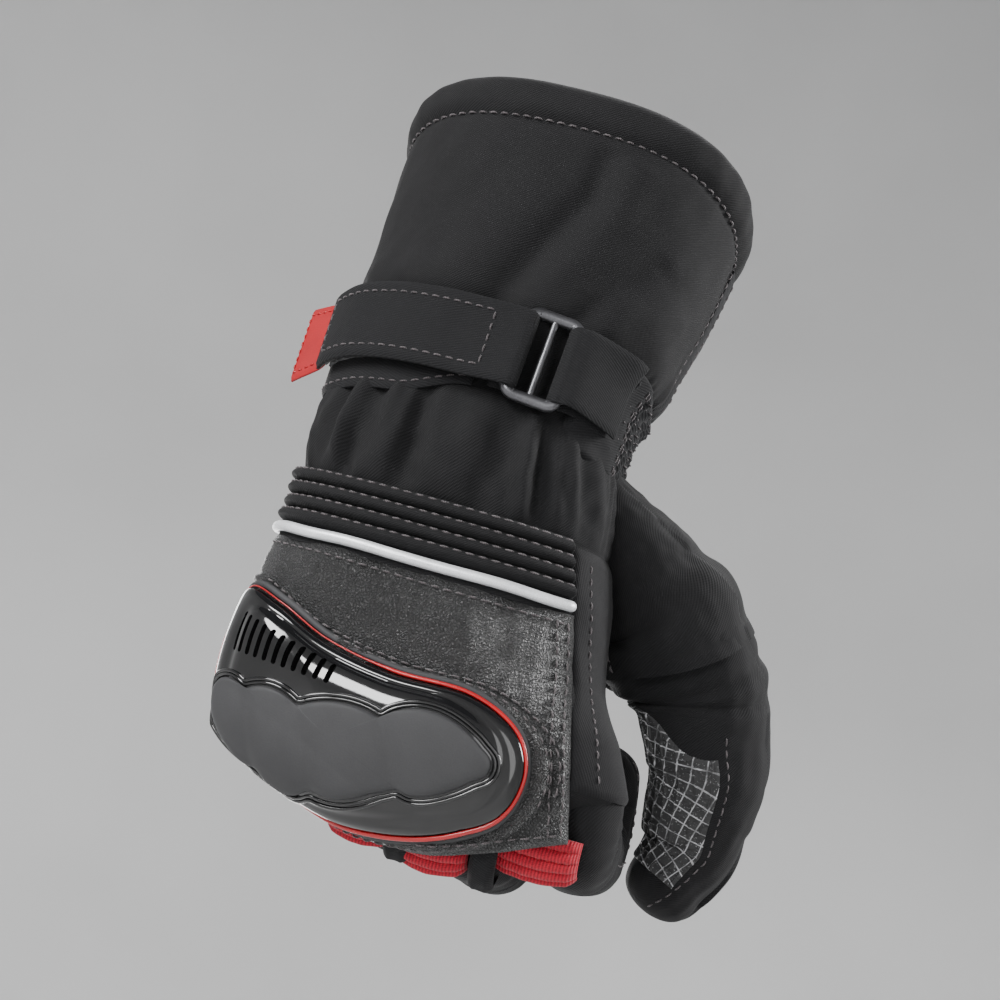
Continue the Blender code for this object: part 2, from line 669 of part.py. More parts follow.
def build_guard(mats, body):
    turns = [i / GUARD_SIDES for i in range(GUARD_SIDES)]
    shares = [0.35, 0.62, 0.82, 0.94, 1.0]
    solid_dome("guard_foam", guard_point, turns, shares[:3], lambda s: GUARD_FOOT,
               lambda s: guard_height(s) - GUARD_WALL - FOAM_GAP, mats["foam"], body)
    guard = solid_dome("knuckle_guard", guard_point, turns, shares, lambda s: guard_height(s) - GUARD_WALL,
                       guard_height, mats["gloss_black"], body)
    vents = []
    for number in range(VENTS):
        across = -36.6 + 2.6 * number
        along = 57.4 + 0.42 * number
        length = 9.0 - 0.45 * number
        ends = [back_point(across, along + k * length / 2, 6.0) for k in (-1, 1)]
        out = back_point(across, along, 12.0) - back_point(across, along, 2.0)
        up = (ends[0] - ends[1]).normalized()
        out = (out - up * out.dot(up)).normalized()
        centre = back_point(across, along, guard_height(0.8))
        vents.append(box_piece(f"vent_cutter_{number}", centre, (out.cross(up), out, up),
                               (VENT_WIDTH, 5.0, length), mats["foam"], body))
    cut(guard, vents)

    path = []
    level = GUARD_FOOT + 0.7
    for turn in turns:
        edge = back_point(*guard_place(1.0, turn), level)
        ahead = back_point(*guard_place(1.0, turn + 0.01), level)
        behind = back_point(*guard_place(1.0, turn - 0.01), level)
        up = back_point(*guard_place(1.0, turn), level + 1.0) - edge
        away = (ahead - behind).cross(up).normalized()
        if away.dot(edge - back_point(*GUARD_CENTRE, level)) < 0:
            away = -away
        path.append(edge + away * 1.5)
    loops = cord_loops(path, 0.95, 6, True)
    ring_solid("guard_rim", loops, mats["red_rubber"], body)

    def insert_point(share, turn, extra):
        across, along = insert_place(share, turn)
        return back_point(across, along, guard_height(guard_share(across, along)) + extra)
    solid_dome("knuckle_insert", insert_point, turns, [0.4, 0.75, 1.0], lambda s: 0.9, lambda s: 2.2,
               mats["matte_grey"], body)


# ---- fingers and thumb --------------------------------------------------------
def knuckle(across, height):
    return hand_to_world(across, smooth_value(KNUCKLE_LINE, across), height)


TO_PALM = Vector((0.0, 1.0, 0.0))
UPWARD = Vector((0.0, 0.0, 1.0))


def middle_joint(name):
    across, _, height, first, _ = FINGERS[name]
    return knuckle(across, height) + TO_PALM * first


def arc_panel(name, centre, across, half_width, inner, outer, start, end, mat, pivot, count=8):
    """Curved panel round an X axis; angles run from the back (0) to below (90)."""
    def point(x, angle, radius):
        return Vector((across + x, centre.y - radius * math.cos(angle), centre.z - radius * math.sin(angle)))
    widths = [-half_width, 0.0, half_width]
    angles = [math.radians(a) for a in steps(start, end, count)]
    patch(name, point, widths, angles, inner, outer, mat, pivot)


def build_finger(name, mats, first_body, second_body):
    across, radius, height, _, second = FINGERS[name]
    base = knuckle(across, height)
    joint = middle_joint(name)
    slant = (TO_PALM - UPWARD).normalized()
    clear = radius * 1.08
    stations = [
        (base, slant, radius),
        (base + TO_PALM * (radius * 0.85), TO_PALM, radius),
        (joint - TO_PALM * clear, TO_PALM, radius),
    ]
    stall(f"{name}_finger_base", stations, STALL_WALL, mats["softshell"], first_body, False, 48.0)

    lean = Vector((-0.06, 0.0, 0.0))
    turn = (TO_PALM + UPWARD).normalized()
    curl = (UPWARD - TO_PALM * 0.55).normalized()
    rise = joint + (UPWARD + lean) * (radius * 0.85)
    top = joint + (UPWARD + lean) * second
    tip = top + (UPWARD - TO_PALM * 0.55 + lean) * 5.0
    stations = [
        (joint, turn, radius),
        (rise, UPWARD + lean, radius - 0.3),
        (top, (UPWARD + curl).normalized(), radius - 0.9),
        (tip, curl, radius - 1.6),
    ]
    stall(f"{name}_finger_tip", stations, STALL_WALL, mats["softshell"], second_body, True, 48.0)

    arc_panel(f"{name}_stretch_panel", base, across, radius * 0.8, radius + 0.8, radius + 3.2,
              30.0, 96.0, mats["red_knit"], first_body, 5)
    size = (radius * 1.1, 0.9, second * 0.7)
    place = (joint + top) / 2 + TO_PALM * (radius + 0.75) + UPWARD * 3.0 + lean * 8.0
    box_piece(f"{name}_grip_patch", place, (Vector((1.0, 0.0, 0.0)), TO_PALM, UPWARD), size,
              mats["silicone"], second_body)


def thumb_station(spec):
    across, along, height, radius = spec
    return hand_to_world(across, along, height), radius


def build_thumb(mats, base_body, tip_body):
    root, root_radius = thumb_station(THUMB_ROOT)
    bend, bend_radius = thumb_station(THUMB_BEND)
    pad, pad_radius = thumb_station(THUMB_PAD)
    end, end_radius = thumb_station(THUMB_END)
    first = (bend - root).normalized()
    stations = [
        (root, first, root_radius),
        (bend - first * (bend_radius * 0.9), first, bend_radius - 0.3),
    ]
    stall("thumb_base", stations, STALL_WALL, mats["softshell"], base_body, False, 42.0)
    second = (pad - bend).normalized()
    third = (end - pad).normalized()
    stations = [
        (bend, (first + second).normalized(), bend_radius),
        (bend + (pad - bend) * 0.55, second, (bend_radius + pad_radius) / 2 + 0.3),
        (pad, (second + third).normalized(), pad_radius),
        (pad + (end - pad) * 0.55, third, (pad_radius + end_radius) / 2 + 0.5),
        (end, third, end_radius),
    ]
    stall("thumb_tip", stations, STALL_WALL, mats["softshell"], tip_body, True, 48.0)

    frame_side = Vector((-1.0, 0.0, 0.0))
    centres = [bend + (pad - bend) * 0.35, pad, pad + (end - pad) * 0.75]
    radii = [(bend_radius + pad_radius) / 2 + 0.5, pad_radius, (pad_radius + end_radius) / 2]
    headings = [second, (second + third).normalized(), third]
    front = hand_to_world(0.0, 0.0, 1.0) - hand_to_world(0.0, 0.0, 0.0)
    rows = {0.0: [], 1.0: []}
    for lift in rows:
        for centre, radius, heading in zip(centres, radii, headings):
            row = []
            for turn in degrees_row(-35.0, 70.0, 5):
                side = (frame_side * math.cos(turn) + front * math.sin(turn))
                side = (side - heading * side.dot(heading)).normalized()
                row.append(centre + side * (radius + 1.1 + lift))
            rows[lift].append(row)
    sheet_solid("thumb_grip_patch", rows[1.0], rows[0.0], mats["silicone"], tip_body)


def build_fourchettes(mats, body):
    names = list(FINGERS)
    for first, second in zip(names, names[1:]):
        across = (FINGERS[first][0] + FINGERS[second][0]) / 2
        centre = knuckle(across, (FINGERS[first][2] + FINGERS[second][2]) / 2)
        arc_panel(f"fourchette_{first}_{second}", centre, across, 1.8, 12.6, 13.6, 42.0, 92.0,
                  mats["leather"], body, 5)


def main():
    clear_scene()
    mats = {
        "softshell": material("softshell", (0.012, 0.012, 0.013), 0.85),
        "lining": material("lining", (0.03, 0.03, 0.032), 0.95),
        "elastic": material("elastic", (0.01, 0.01, 0.01), 0.9),
        "webbing": material("webbing", (0.01, 0.01, 0.01), 0.8),
        "loop_pile": material("loop_pile", (0.02, 0.02, 0.02), 0.98),
        "hook_pile": material("hook_pile", (0.015, 0.015, 0.015), 0.7),
        "gunmetal": material("gunmetal", (0.09, 0.09, 0.095), 0.35, 0.9),
        "red_rubber": material("red_rubber", (0.6, 0.01, 0.015), 0.4),
        "red_knit": material("red_knit", (0.55, 0.01, 0.02), 0.8),
        "reflective": material("reflective", (0.6, 0.61, 0.62), 0.35),
        "leather": material("leather", (0.014, 0.014, 0.014), 0.5),
        "foam": material("foam", (0.02, 0.02, 0.02), 0.95),
        "gloss_black": material("gloss_black", (0.004, 0.004, 0.004), 0.08),
        "matte_grey": material("matte_grey", (0.03, 0.03, 0.032), 0.5),
        "silicone": material("silicone", (0.03, 0.03, 0.03), 0.4),
    }
    gauntlet = Pivot("gauntlet_pivot", (0.0, 0.0, 0.0))
    hand = Pivot("hand_pivot", (0.0, 0.0, -WRIST_DROP), gauntlet)
    centre, along, _, _ = buckle_axes()
    bar = BUCKLE_WIDTH / 2 - BUCKLE_BAR / 2
    buckle = Pivot("buckle_pivot", centre + along * bar, gauntlet)
    strap_end = Pivot("strap_end_pivot", centre - along * bar, buckle)
    middle = (STRAP_TOP + STRAP_FOOT) / 2
    tab = Pivot("pull_tab_pivot", gauntlet_point(math.radians(TAB_ANGLE), middle, FREE_LEVEL), strap_end)
    build_gauntlet(mats, gauntlet)
    build_strap(mats, gauntlet, buckle, strap_end, tab)
    build_hand(mats, hand)
    build_guard(mats, hand)
    build_fourchettes(mats, hand)
    for name in FINGERS:
        first = Pivot(f"{name}_base_pivot", knuckle(FINGERS[name][0], FINGERS[name][2]), hand)
        second = Pivot(f"{name}_tip_pivot", middle_joint(name), first)
        build_finger(name, mats, first, second)
    base = Pivot("thumb_base_pivot", thumb_station(THUMB_ROOT)[0], hand)
    tip = Pivot("thumb_tip_pivot", thumb_station(THUMB_BEND)[0], base)
    build_thumb(mats, base, tip)


main()
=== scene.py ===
"""Looks of the padded gauntlet glove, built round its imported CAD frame.

Lengths in this script are millimetres until a mesh is made. Places use the three
maps of the part: gauntlet (angle, down, off), hand (angle, along, off) and back
(across, along, off). An angle of 0 is the thumb side, 90 the back of the hand,
180 the little finger side and 270 the palm.
"""
import math

import bmesh
import bpy
import numpy as np
from mathutils import Matrix, Vector


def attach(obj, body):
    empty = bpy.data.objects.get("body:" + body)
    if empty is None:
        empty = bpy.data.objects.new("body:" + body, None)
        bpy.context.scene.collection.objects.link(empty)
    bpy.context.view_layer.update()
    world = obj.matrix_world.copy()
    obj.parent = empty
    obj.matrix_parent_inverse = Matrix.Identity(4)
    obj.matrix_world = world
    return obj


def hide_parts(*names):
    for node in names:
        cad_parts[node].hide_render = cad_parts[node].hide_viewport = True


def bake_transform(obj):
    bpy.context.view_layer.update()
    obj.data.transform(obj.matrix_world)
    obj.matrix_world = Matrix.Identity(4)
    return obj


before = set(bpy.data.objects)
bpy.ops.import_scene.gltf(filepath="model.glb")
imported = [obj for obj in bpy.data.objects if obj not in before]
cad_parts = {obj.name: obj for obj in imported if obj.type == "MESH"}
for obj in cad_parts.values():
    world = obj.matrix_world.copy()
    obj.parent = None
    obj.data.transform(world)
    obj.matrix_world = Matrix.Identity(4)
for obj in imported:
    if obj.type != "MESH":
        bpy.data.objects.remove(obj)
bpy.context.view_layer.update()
MM = 0.001

# ---- the part's own dimensions ---------------------------------------------------
WRIST_DROP, WRIST_BEND = 95.0, math.radians(17.0)
RIM_LIFT, SECTION_POWER = 5.5, 2.5
GAUNTLET_LENGTH = 88.0
# down or along, little finger side, thumb side, back, palm
GAUNTLET_SECTIONS = [(0, -48.5, 48.5, 40.5, -37), (28, -47.5, 46, 37.5, -34.5),
                     (54, -46, 41, 33.5, -31), (72, -45, 35, 30.5, -28), (88, -44, 35, 30, -27)]
HAND_SECTIONS = [(-12, -43, 35, 29, -25), (7, -43, 39, 30, -26), (27, -44, 45.5, 31.5, -27),
                 (46, -46, 49, 33, -23), (60, -46, 59, 33, -6), (76, -45, 66, 32, -3),
                 (100, -40, 68, 30.5, -3)]
KNUCKLE_RADIUS = 15.8
KNUCKLE_LINE = [(-46, 68), (-14.6, 78.5), (8.2, 88.5), (31.5, 90.5), (55, 85), (70, 82)]
FINGERS = {"index": (55.0, 11.3, 12.0, 34.0, 21.0), "middle": (31.5, 11.3, 14.0, 37.0, 23.0),
           "ring": (8.2, 11.2, 14.0, 35.0, 22.0), "little": (-14.6, 10.9, 12.5, 30.0, 18.0)}
THUMB = [(60.8, 17.0, -16.0, 15.2), (74.0, 37.0, -25.0, 16.3), (80.6, 58.0, -31.0, 15.0),
         (81.0, 80.0, -36.0, 12.6)]
RIBS_START, RIBS_END, RIB_COUNT = 10.5, 25.5, 4
PIPING_ALONG, PIPING_RADIUS = 27.6, 1.3
LEATHER_START = 29.6
# across, degrees that the leather rolls over the knuckles
LEATHER_ROLL = [(-46.0, 50.0), (2.0, 48.0), (22.0, 32.0), (38.0, 14.0), (56.0, 4.0)]
SEAM_LINE = [(0, 31), (30, 39), (57, 48), (84, 55), (110, 58)]
GUARD_OUTLINE = [(-41.5, 46.5), (-31, 48.5), (-16, 54.5), (2, 57.5), (21, 57.5), (34, 63.5),
                 (38.5, 74), (34.5, 86), (20, 93.5), (0, 96), (-19, 92.5), (-33, 85),
                 (-41.5, 73.5), (-42.8, 58)]
GUARD_CENTRE = (-3.0, 74.0)
GUARD_FOOT, GUARD_WALL, GUARD_RISE = 3.2, 1.6, 5.2
STRAP_TOP, STRAP_FOOT = 61.0, 83.0
STRAP_MIDDLE = (STRAP_TOP + STRAP_FOOT) / 2
BUCKLE_X, BUCKLE_WIDTH, BUCKLE_HEIGHT, BUCKLE_BAR = 11.5, 17.0, 27.0, 1.9
BUCKLE_LEVEL, STANDING_LEVEL, FREE_LEVEL, TURN_RADIUS = 5.2, 1.9, 6.3, 2.35


# ---- the part's surfaces, on whole arrays ------------------------------------------
def smooth_value(table, x, column=1):
    """Monotone cubic through (x, value, ...) rows, held flat past both ends."""
    xs = np.array([row[0] for row in table], float)
    ys = np.array([row[column] for row in table], float)
    slopes = np.diff(ys) / np.diff(xs)
    a, b = slopes[:-1], slopes[1:]
    same = a * b > 0
    inner = np.where(same, 2 * a * b / np.where(same, a + b, 1.0), 0.0)
    tangents = np.concatenate([slopes[:1], inner, slopes[-1:]])
    x = np.clip(np.asarray(x, float), xs[0], xs[-1])
    i = np.clip(np.searchsorted(xs, x, side="right") - 1, 0, len(xs) - 2)
    width = xs[i + 1] - xs[i]
    t = (x - xs[i]) / width
    return ((2 * t**3 - 3 * t**2 + 1) * ys[i] + (t**3 - 2 * t**2 + t) * width * tangents[i]
            + (3 * t**2 - 2 * t**3) * ys[i + 1] + (t**3 - t**2) * width * tangents[i + 1])


def signed_power(value, power):
    return np.sign(value) * np.abs(value) ** power


def section_point(table, angle, along, off):
    left, right, back, palm = (smooth_value(table, along, c) for c in (1, 2, 3, 4))
    power = 2.0 / SECTION_POWER
    across = (left + right) / 2 + ((right - left) / 2 + off) * signed_power(np.cos(angle), power)
    height = (back + palm) / 2 + ((back - palm) / 2 + off) * signed_power(np.sin(angle), power)
    return across, height


def angle_at(table, across, along):
    """Angle on the back half of the section where it crosses one across position."""
    left, right = (smooth_value(table, along, c) for c in (1, 2))
    ratio = np.clip((across - (left + right) / 2) / ((right - left) / 2), -0.999, 0.999)
    return np.arccos(signed_power(ratio, SECTION_POWER / 2))


def pile(*parts):
    return np.stack(np.broadcast_arrays(*parts), -1).astype(float)


def hand_to_world(across, along, height):
    sin, cos = math.sin(WRIST_BEND), math.cos(WRIST_BEND)
    return pile(across, along * sin - height * cos, -WRIST_DROP - along * cos - height * sin)


def gauntlet_point(angle, down, off=0.0):
    across, height = section_point(GAUNTLET_SECTIONS, angle, down, off)
    fade = np.clip(1.0 - down / GAUNTLET_LENGTH, 0.0, None)
    return pile(across, -height, -down + RIM_LIFT * np.sin(angle) * fade)


def hand_point(angle, along, off=0.0):
    across, height = section_point(HAND_SECTIONS, angle, along, off)
    return hand_to_world(across, along, height)


def back_point(across, along, off=0.0):
    """Back of the hand, rolling down over the knuckles past the knuckle line."""
    knuckle = smooth_value(KNUCKLE_LINE, across)
    flat = np.minimum(along, knuckle)
    angle = angle_at(HAND_SECTIONS, across, flat)
    x, height = section_point(HAND_SECTIONS, angle, flat, off)
    roll = np.clip((along - knuckle) / KNUCKLE_RADIUS, 0.0, None)
    reach = KNUCKLE_RADIUS + off
    return hand_to_world(x, flat + reach * np.sin(roll), height - reach * (1 - np.cos(roll)))


def knuckle_place(name):
    across, _, height, _, _ = FINGERS[name]
    return hand_to_world(across, smooth_value(KNUCKLE_LINE, across), height)


def middle_place(name):
    return knuckle_place(name) + np.array([0.0, FINGERS[name][3], 0.0])


# ---- small maths -------------------------------------------------------------------
RIPPLE_WAVES = 7


def unit(v):
    return v / np.maximum(np.linalg.norm(v, axis=-1, keepdims=True), 1e-9)


def ease(x, low, high):
    """0 below low, 1 above high, smooth between."""
    t = np.clip((x - low) / (high - low), 0.0, 1.0)
    return t * t * (3 - 2 * t)


def ripple(u, v, scale, seed):
    """Smooth seeded unevenness of about -1 to 1 over two lengths in millimetres."""
    rng = np.random.default_rng(seed)
    total = np.zeros(np.broadcast(u, v).shape)
    for _ in range(RIPPLE_WAVES):
        turn, phase = rng.uniform(0, 2 * math.pi), rng.uniform(0, 2 * math.pi)
        size = rng.uniform(0.6, 1.6)
        along = u * math.cos(turn) + v * math.sin(turn)
        total = total + np.sin(along * 2 * math.pi * size / scale + phase)
    return total / math.sqrt(RIPPLE_WAVES * 2)


def rounded(edge, ends=np.inf):
    """Rise of a sewn edge: low on the edge, 1 once a full width inside both."""
    return np.sqrt(np.clip(np.minimum(edge, ends), 0.02, 1.0))


def crease(u, v, line, width):
    """1 on a line of (u, v) points, falling off to 0 within about one width."""
    best = np.full(np.broadcast(u, v).shape, 1e9)
    for (u1, v1), (u2, v2) in zip(line, line[1:]):
        du, dv = u2 - u1, v2 - v1
        t = np.clip(((u - u1) * du + (v - v1) * dv) / (du * du + dv * dv), 0.0, 1.0)
        best = np.minimum(best, np.hypot(u - u1 - t * du, v - v1 - t * dv))
    return np.exp(-(best / width) ** 2)


# ---- making meshes -----------------------------------------------------------------
def add_object(name, data):
    obj = bpy.data.objects.new(name, data)
    bpy.context.scene.collection.objects.link(obj)
    return obj


def make_object(name, points, faces, mat, uvs=None, sharp=50.0):
    """One mesh object from millimetre points. uvs holds one (u, v) for each face corner."""
    mesh = bpy.data.meshes.new(name)
    mesh.from_pydata((np.asarray(points, float) * MM).tolist(), [], faces)
    if uvs is not None:
        layer = mesh.uv_layers.new(name="cloth")
        layer.data.foreach_set("uv", np.asarray(uvs, np.float32).ravel())
    tidy = bmesh.new()
    tidy.from_mesh(mesh)
    bmesh.ops.recalc_face_normals(tidy, faces=tidy.faces)
    tidy.to_mesh(mesh)
    tidy.free()
    mesh.materials.append(mat)
    mesh.shade_smooth()
    if sharp:
        mesh.set_sharp_from_angle(angle=math.radians(sharp))
    obj = add_object(name, mesh)
    return obj


def two_skins(name, outer, inner, mat, slot, ring=False):
    """Closed solid between two matching grids, with its cloth coordinates in metres."""
    rows, cols = outer.shape[:2]
    closed = np.concatenate([outer, outer[:, :1]], 1) if ring else outer
    wide = np.linalg.norm(np.diff(closed, axis=1), axis=2).mean(0)
    tall = np.linalg.norm(np.diff(closed, axis=0), axis=2).mean(1)
    us = np.concatenate([[0.0], np.cumsum(wide)]) * MM
    vs = np.concatenate([[0.0], np.cumsum(tall)]) * MM
    spans = cols if ring else cols - 1
    r, c = np.meshgrid(np.arange(rows - 1), np.arange(spans), indexing="ij")
    d = (c + 1) % cols
    quads = np.stack([r * cols + c, r * cols + d, (r + 1) * cols + d, (r + 1) * cols + c], -1)
    quads = quads.reshape(-1, 4)
    corner = np.stack([pile(us[c], vs[r]), pile(us[c + 1], vs[r]), pile(us[c + 1], vs[r + 1]),
                       pile(us[c], vs[r + 1])], -2).reshape(-1, 4, 2)
    half = rows * cols
    faces = [quads, quads[:, ::-1] + half]
    uvs = [corner, corner[:, ::-1]]
    c = np.arange(spans)
    d = (c + 1) % cols
    for base, row in ((0, 0), ((rows - 1) * cols, rows - 1)):
        faces.append(np.stack([base + c, base + d, half + base + d, half + base + c], -1))
        rim = np.stack([pile(us[c], vs[row]), pile(us[c + 1], vs[row])] * 2, 1)
        rim[:, [2, 3]] = rim[:, [3, 2]]
        uvs.append(rim)
    if not ring:
        r = np.arange(rows - 1)
        for col in (0, cols - 1):
            a, b = r * cols + col, (r + 1) * cols + col
            faces.append(np.stack([a, b, half + b, half + a], -1))
            rim = np.stack([pile(us[col], vs[r]), pile(us[col], vs[r + 1])] * 2, 1)
            rim[:, [2, 3]] = rim[:, [3, 2]]
            uvs.append(rim)
    points = np.concatenate([outer.reshape(-1, 3), inner.reshape(-1, 3)])
    return make_object(name, points, np.concatenate(faces).tolist(), mat,
                       np.concatenate(uvs).reshape(-1, 2))


def skin(name, place, us, vs, off, wall, mat, slot, ring=False):
    """Fabric of one wall thickness on a surface map; off may be a function of u and v."""
    u, v = np.meshgrid(us, vs)
    high = off(u, v) if callable(off) else np.full(u.shape, float(off))
    return two_skins(name, place(u, v, high), place(u, v, high - wall), mat, slot, ring)


def tube_along(name, path, radius, mat, sides=12, closed=False, flat=1.0, sharp=50.0):
    """Round tube along a path; radius may be one value for each point."""
    path = np.asarray(path, float)
    radius = np.broadcast_to(radius, (len(path),))
    if closed:
        ahead = np.roll(path, -1, 0) - np.roll(path, 1, 0)
    else:
        ahead = np.gradient(path, axis=0)
    ahead = unit(ahead)
    side = np.zeros_like(path)
    last = np.cross(ahead[0], [0.31, -0.9, 0.25])
    for i, heading in enumerate(ahead):
        last = last - heading * (last @ heading)
        last = last / np.linalg.norm(last)
        side[i] = last
    lift = np.cross(ahead, side)
    turn = np.arange(sides) * 2 * math.pi / sides
    rings = (path[:, None] + radius[:, None, None] * (side[:, None] * np.cos(turn)[None, :, None]
             + flat * lift[:, None] * np.sin(turn)[None, :, None]))
    count = len(path)
    faces = []
    for i in range(count if closed else count - 1):
        j = (i + 1) % count
        for c in range(sides):
            d = (c + 1) % sides
            faces.append((i * sides + c, i * sides + d, j * sides + d, j * sides + c))
    if not closed:
        faces.append(tuple(range(sides)))
        faces.append(tuple((count - 1) * sides + c for c in range(sides)))
    return make_object(name, rings.reshape(-1, 3), faces, mat, sharp=sharp)


def walk(path):
    """Arc length along a path and a reader of any place on it."""
    path = np.asarray(path, float)
    length = np.concatenate([[0.0], np.cumsum(np.linalg.norm(np.diff(path, axis=0), axis=1))])

    def at(s, values=path):
        return np.stack([np.interp(s, length, values[:, k]) for k in range(3)], -1)
    return length[-1], at


def stitches(name, runs, mat, stitch=2.5, gap=0.9, radius=0.3, sink=0.22):
    """Rows of sewn stitches. Each run is (path, outward directions); one mesh for all."""
    points, faces = [], []
    turn = np.arange(6) * 2 * math.pi / 6
    for path, out in runs:
        path, out = np.asarray(path, float), np.asarray(out, float)
        total, at = walk(path)
        count = max(1, int(total / (stitch + gap)))
        pitch = total / count
        for k in range(count):
            s = k * pitch + gap / 2 + np.linspace(0.0, pitch - gap, 5)
            spine = at(s)
            away = unit(at(s, out))
            spine = spine + away * (np.array([-sink, 0.12, 0.2, 0.12, -sink])[:, None] * 1.2)
            ahead = unit(np.gradient(spine, axis=0))
            side = unit(np.cross(ahead, away))
            lift = np.cross(side, ahead)
            size = radius * np.array([0.55, 0.95, 1.0, 0.95, 0.55])[:, None, None]
            rings = spine[:, None] + size * (side[:, None] * np.cos(turn)[None, :, None]
                                             + lift[:, None] * np.sin(turn)[None, :, None])
            base = len(points) * 6
            points.extend(rings)
            for i in range(4):
                for c in range(6):
                    d = (c + 1) % 6
                    near, far = base + i * 6, base + i * 6 + 6
                    faces.append((near + c, near + d, far + d, far + c))
            faces.append(tuple(base + c for c in range(6)))
            faces.append(tuple(base + 24 + c for c in range(6)))
    return make_object(name, np.array(points).reshape(-1, 3), faces, mat, sharp=0)


def seam_run(place, us, vs, off):
    """Path and outward directions of a seam on a surface map."""
    us, vs = np.broadcast_arrays(np.asarray(us, float), np.asarray(vs, float))
    off = np.broadcast_to(np.asarray(off, float), us.shape)
    path = place(us, vs, off)
    return path, unit(place(us, vs, off + 1.0) - path)


def seam_on(place, off, us, vs, lift):
    """Seam lying a little above a piece whose height is off(u, v)."""
    us, vs = np.broadcast_arrays(np.asarray(us, float), np.asarray(vs, float))
    return seam_run(place, us, vs, off(us, vs) + lift)


# ---- materials ---------------------------------------------------------------------
BANDS_PER_UNIT = 3.1831       # bands that a wave texture of scale 1 draws over one unit


class Recipe:
    """Adds nodes to one material. Every texture reads the piece's own coordinates."""

    def __init__(self, name, **shader):
        self.mat = bpy.data.materials.new(name)
        self.mat.use_nodes = True
        self.tree = self.mat.node_tree
        self.shader = self.tree.nodes["Principled BSDF"]
        for key, value in shader.items():
            socket = key.replace("_", " ").title().replace("Ior", "IOR")
            self.shader.inputs[socket].default_value = value
        coords = self.tree.nodes.new("ShaderNodeTexCoord")
        self.solid = coords.outputs["Object"]
        cloth = self.tree.nodes.new("ShaderNodeUVMap")
        cloth.uv_map = "cloth"
        self.cloth = cloth.outputs["UV"]

    def node(self, kind, inputs=(), **settings):
        made = self.tree.nodes.new("ShaderNode" + kind)
        for key, value in settings.items():
            setattr(made, key, value)
        for key, value in dict(inputs).items():
            self.feed(made.inputs[key], value)
        return made

    def feed(self, socket, value):
        if isinstance(value, bpy.types.NodeSocket):
            self.tree.links.new(value, socket)
        else:
            socket.default_value = value

    def math(self, operation, *values):
        return self.node("Math", dict(enumerate(values)), operation=operation).outputs[0]

    def noise(self, scale, detail=3.0, rough=0.5, space=None):
        inputs = {"Vector": space or self.solid, "Scale": scale, "Detail": detail,
                  "Roughness": rough}
        return self.node("TexNoise", inputs).outputs["Fac"]

    def cells(self, scale, feature="DISTANCE_TO_EDGE", space=None):
        inputs = {"Vector": space or self.solid, "Scale": scale}
        return self.node("TexVoronoi", inputs, feature=feature).outputs["Distance"]

    def ribs(self, pitch, turn):
        """Parallel ribs in cloth coordinates, pitch in metres."""
        spun = self.node("Mapping", {"Vector": self.cloth, "Rotation": (0.0, 0.0, turn)})
        scale = 1.0 / (pitch * BANDS_PER_UNIT)
        return self.node("TexWave", {"Vector": spun.outputs[0], "Scale": scale}).outputs["Fac"]

    def ramp(self, value, stops):
        made = self.node("ValToRGB", {"Fac": value})
        elements = made.color_ramp.elements
        while len(elements) < len(stops):
            elements.new(0.5)
        for element, (place, level) in zip(elements, stops):
            element.position = place
            element.color = (*((level,) * 3 if isinstance(level, float) else level), 1.0)
        return made.outputs["Color"]

    def colour(self, value, stops):
        self.feed(self.shader.inputs["Base Color"], self.ramp(value, stops))

    def roughness(self, value, low, high):
        made = self.node("MapRange", {"Value": value, "To Min": low, "To Max": high})
        self.feed(self.shader.inputs["Roughness"], made.outputs[0])

    def bumps(self, *layers):
        """Stack of (height value, strength, distance in metres)."""
        last = None
        for value, strength, distance in layers:
            inputs = {"Height": value, "Strength": strength, "Distance": distance}
            if last is not None:
                inputs["Normal"] = last
            last = self.node("Bump", inputs).outputs[0]
        self.feed(self.shader.inputs["Normal"], last)
        return self.mat


def fabric(name, dark, light, pitch=0.0006, turn=0.9, weave=0.5, sheen=0.03, worn=0.35):
    """Woven cloth: slanted yarns crossed by finer ones, uneven dye and slight wear."""
    r = Recipe(name, sheen_weight=sheen, sheen_roughness=0.45, specular_ior_level=0.13)
    twill = r.ribs(pitch, turn)
    cross = r.ribs(pitch * 0.62, turn + 1.35)
    yarn = r.math("MULTIPLY_ADD", cross, 0.45, twill)
    cloud = r.noise(45.0, 4.0, 0.6)
    fuzz = r.noise(1500.0, 2.0, 0.6)
    shade = r.math("MULTIPLY_ADD", yarn, 0.28, r.math("MULTIPLY_ADD", fuzz, 0.22,
                                                       r.math("MULTIPLY", cloud, worn)))
    r.colour(shade, [(0.18, dark), (0.9, light)])
    r.roughness(cloud, 0.72, 0.92)
    return r.bumps((yarn, weave, 0.00016), (fuzz, 0.25, 0.0002), (r.noise(160.0, 2.0), 0.3, 0.0006))


def ribbed_knit(name, dark, light, pitch):
    r = Recipe(name, sheen_weight=0.08, sheen_roughness=0.4, specular_ior_level=0.3)
    rib = r.ribs(pitch, 0.0)
    loops = r.ribs(pitch * 0.5, math.pi / 2)
    knit = r.math("MULTIPLY_ADD", loops, 0.35, rib)
    fuzz = r.noise(1800.0, 2.0)
    shade = r.math("MULTIPLY_ADD", fuzz, 0.3, r.math("MULTIPLY", knit, 0.55))
    r.colour(shade, [(0.15, dark), (0.85, light)])
    r.roughness(r.noise(60.0), 0.6, 0.8)
    return r.bumps((knit, 0.6, 0.0003), (fuzz, 0.3, 0.0002))


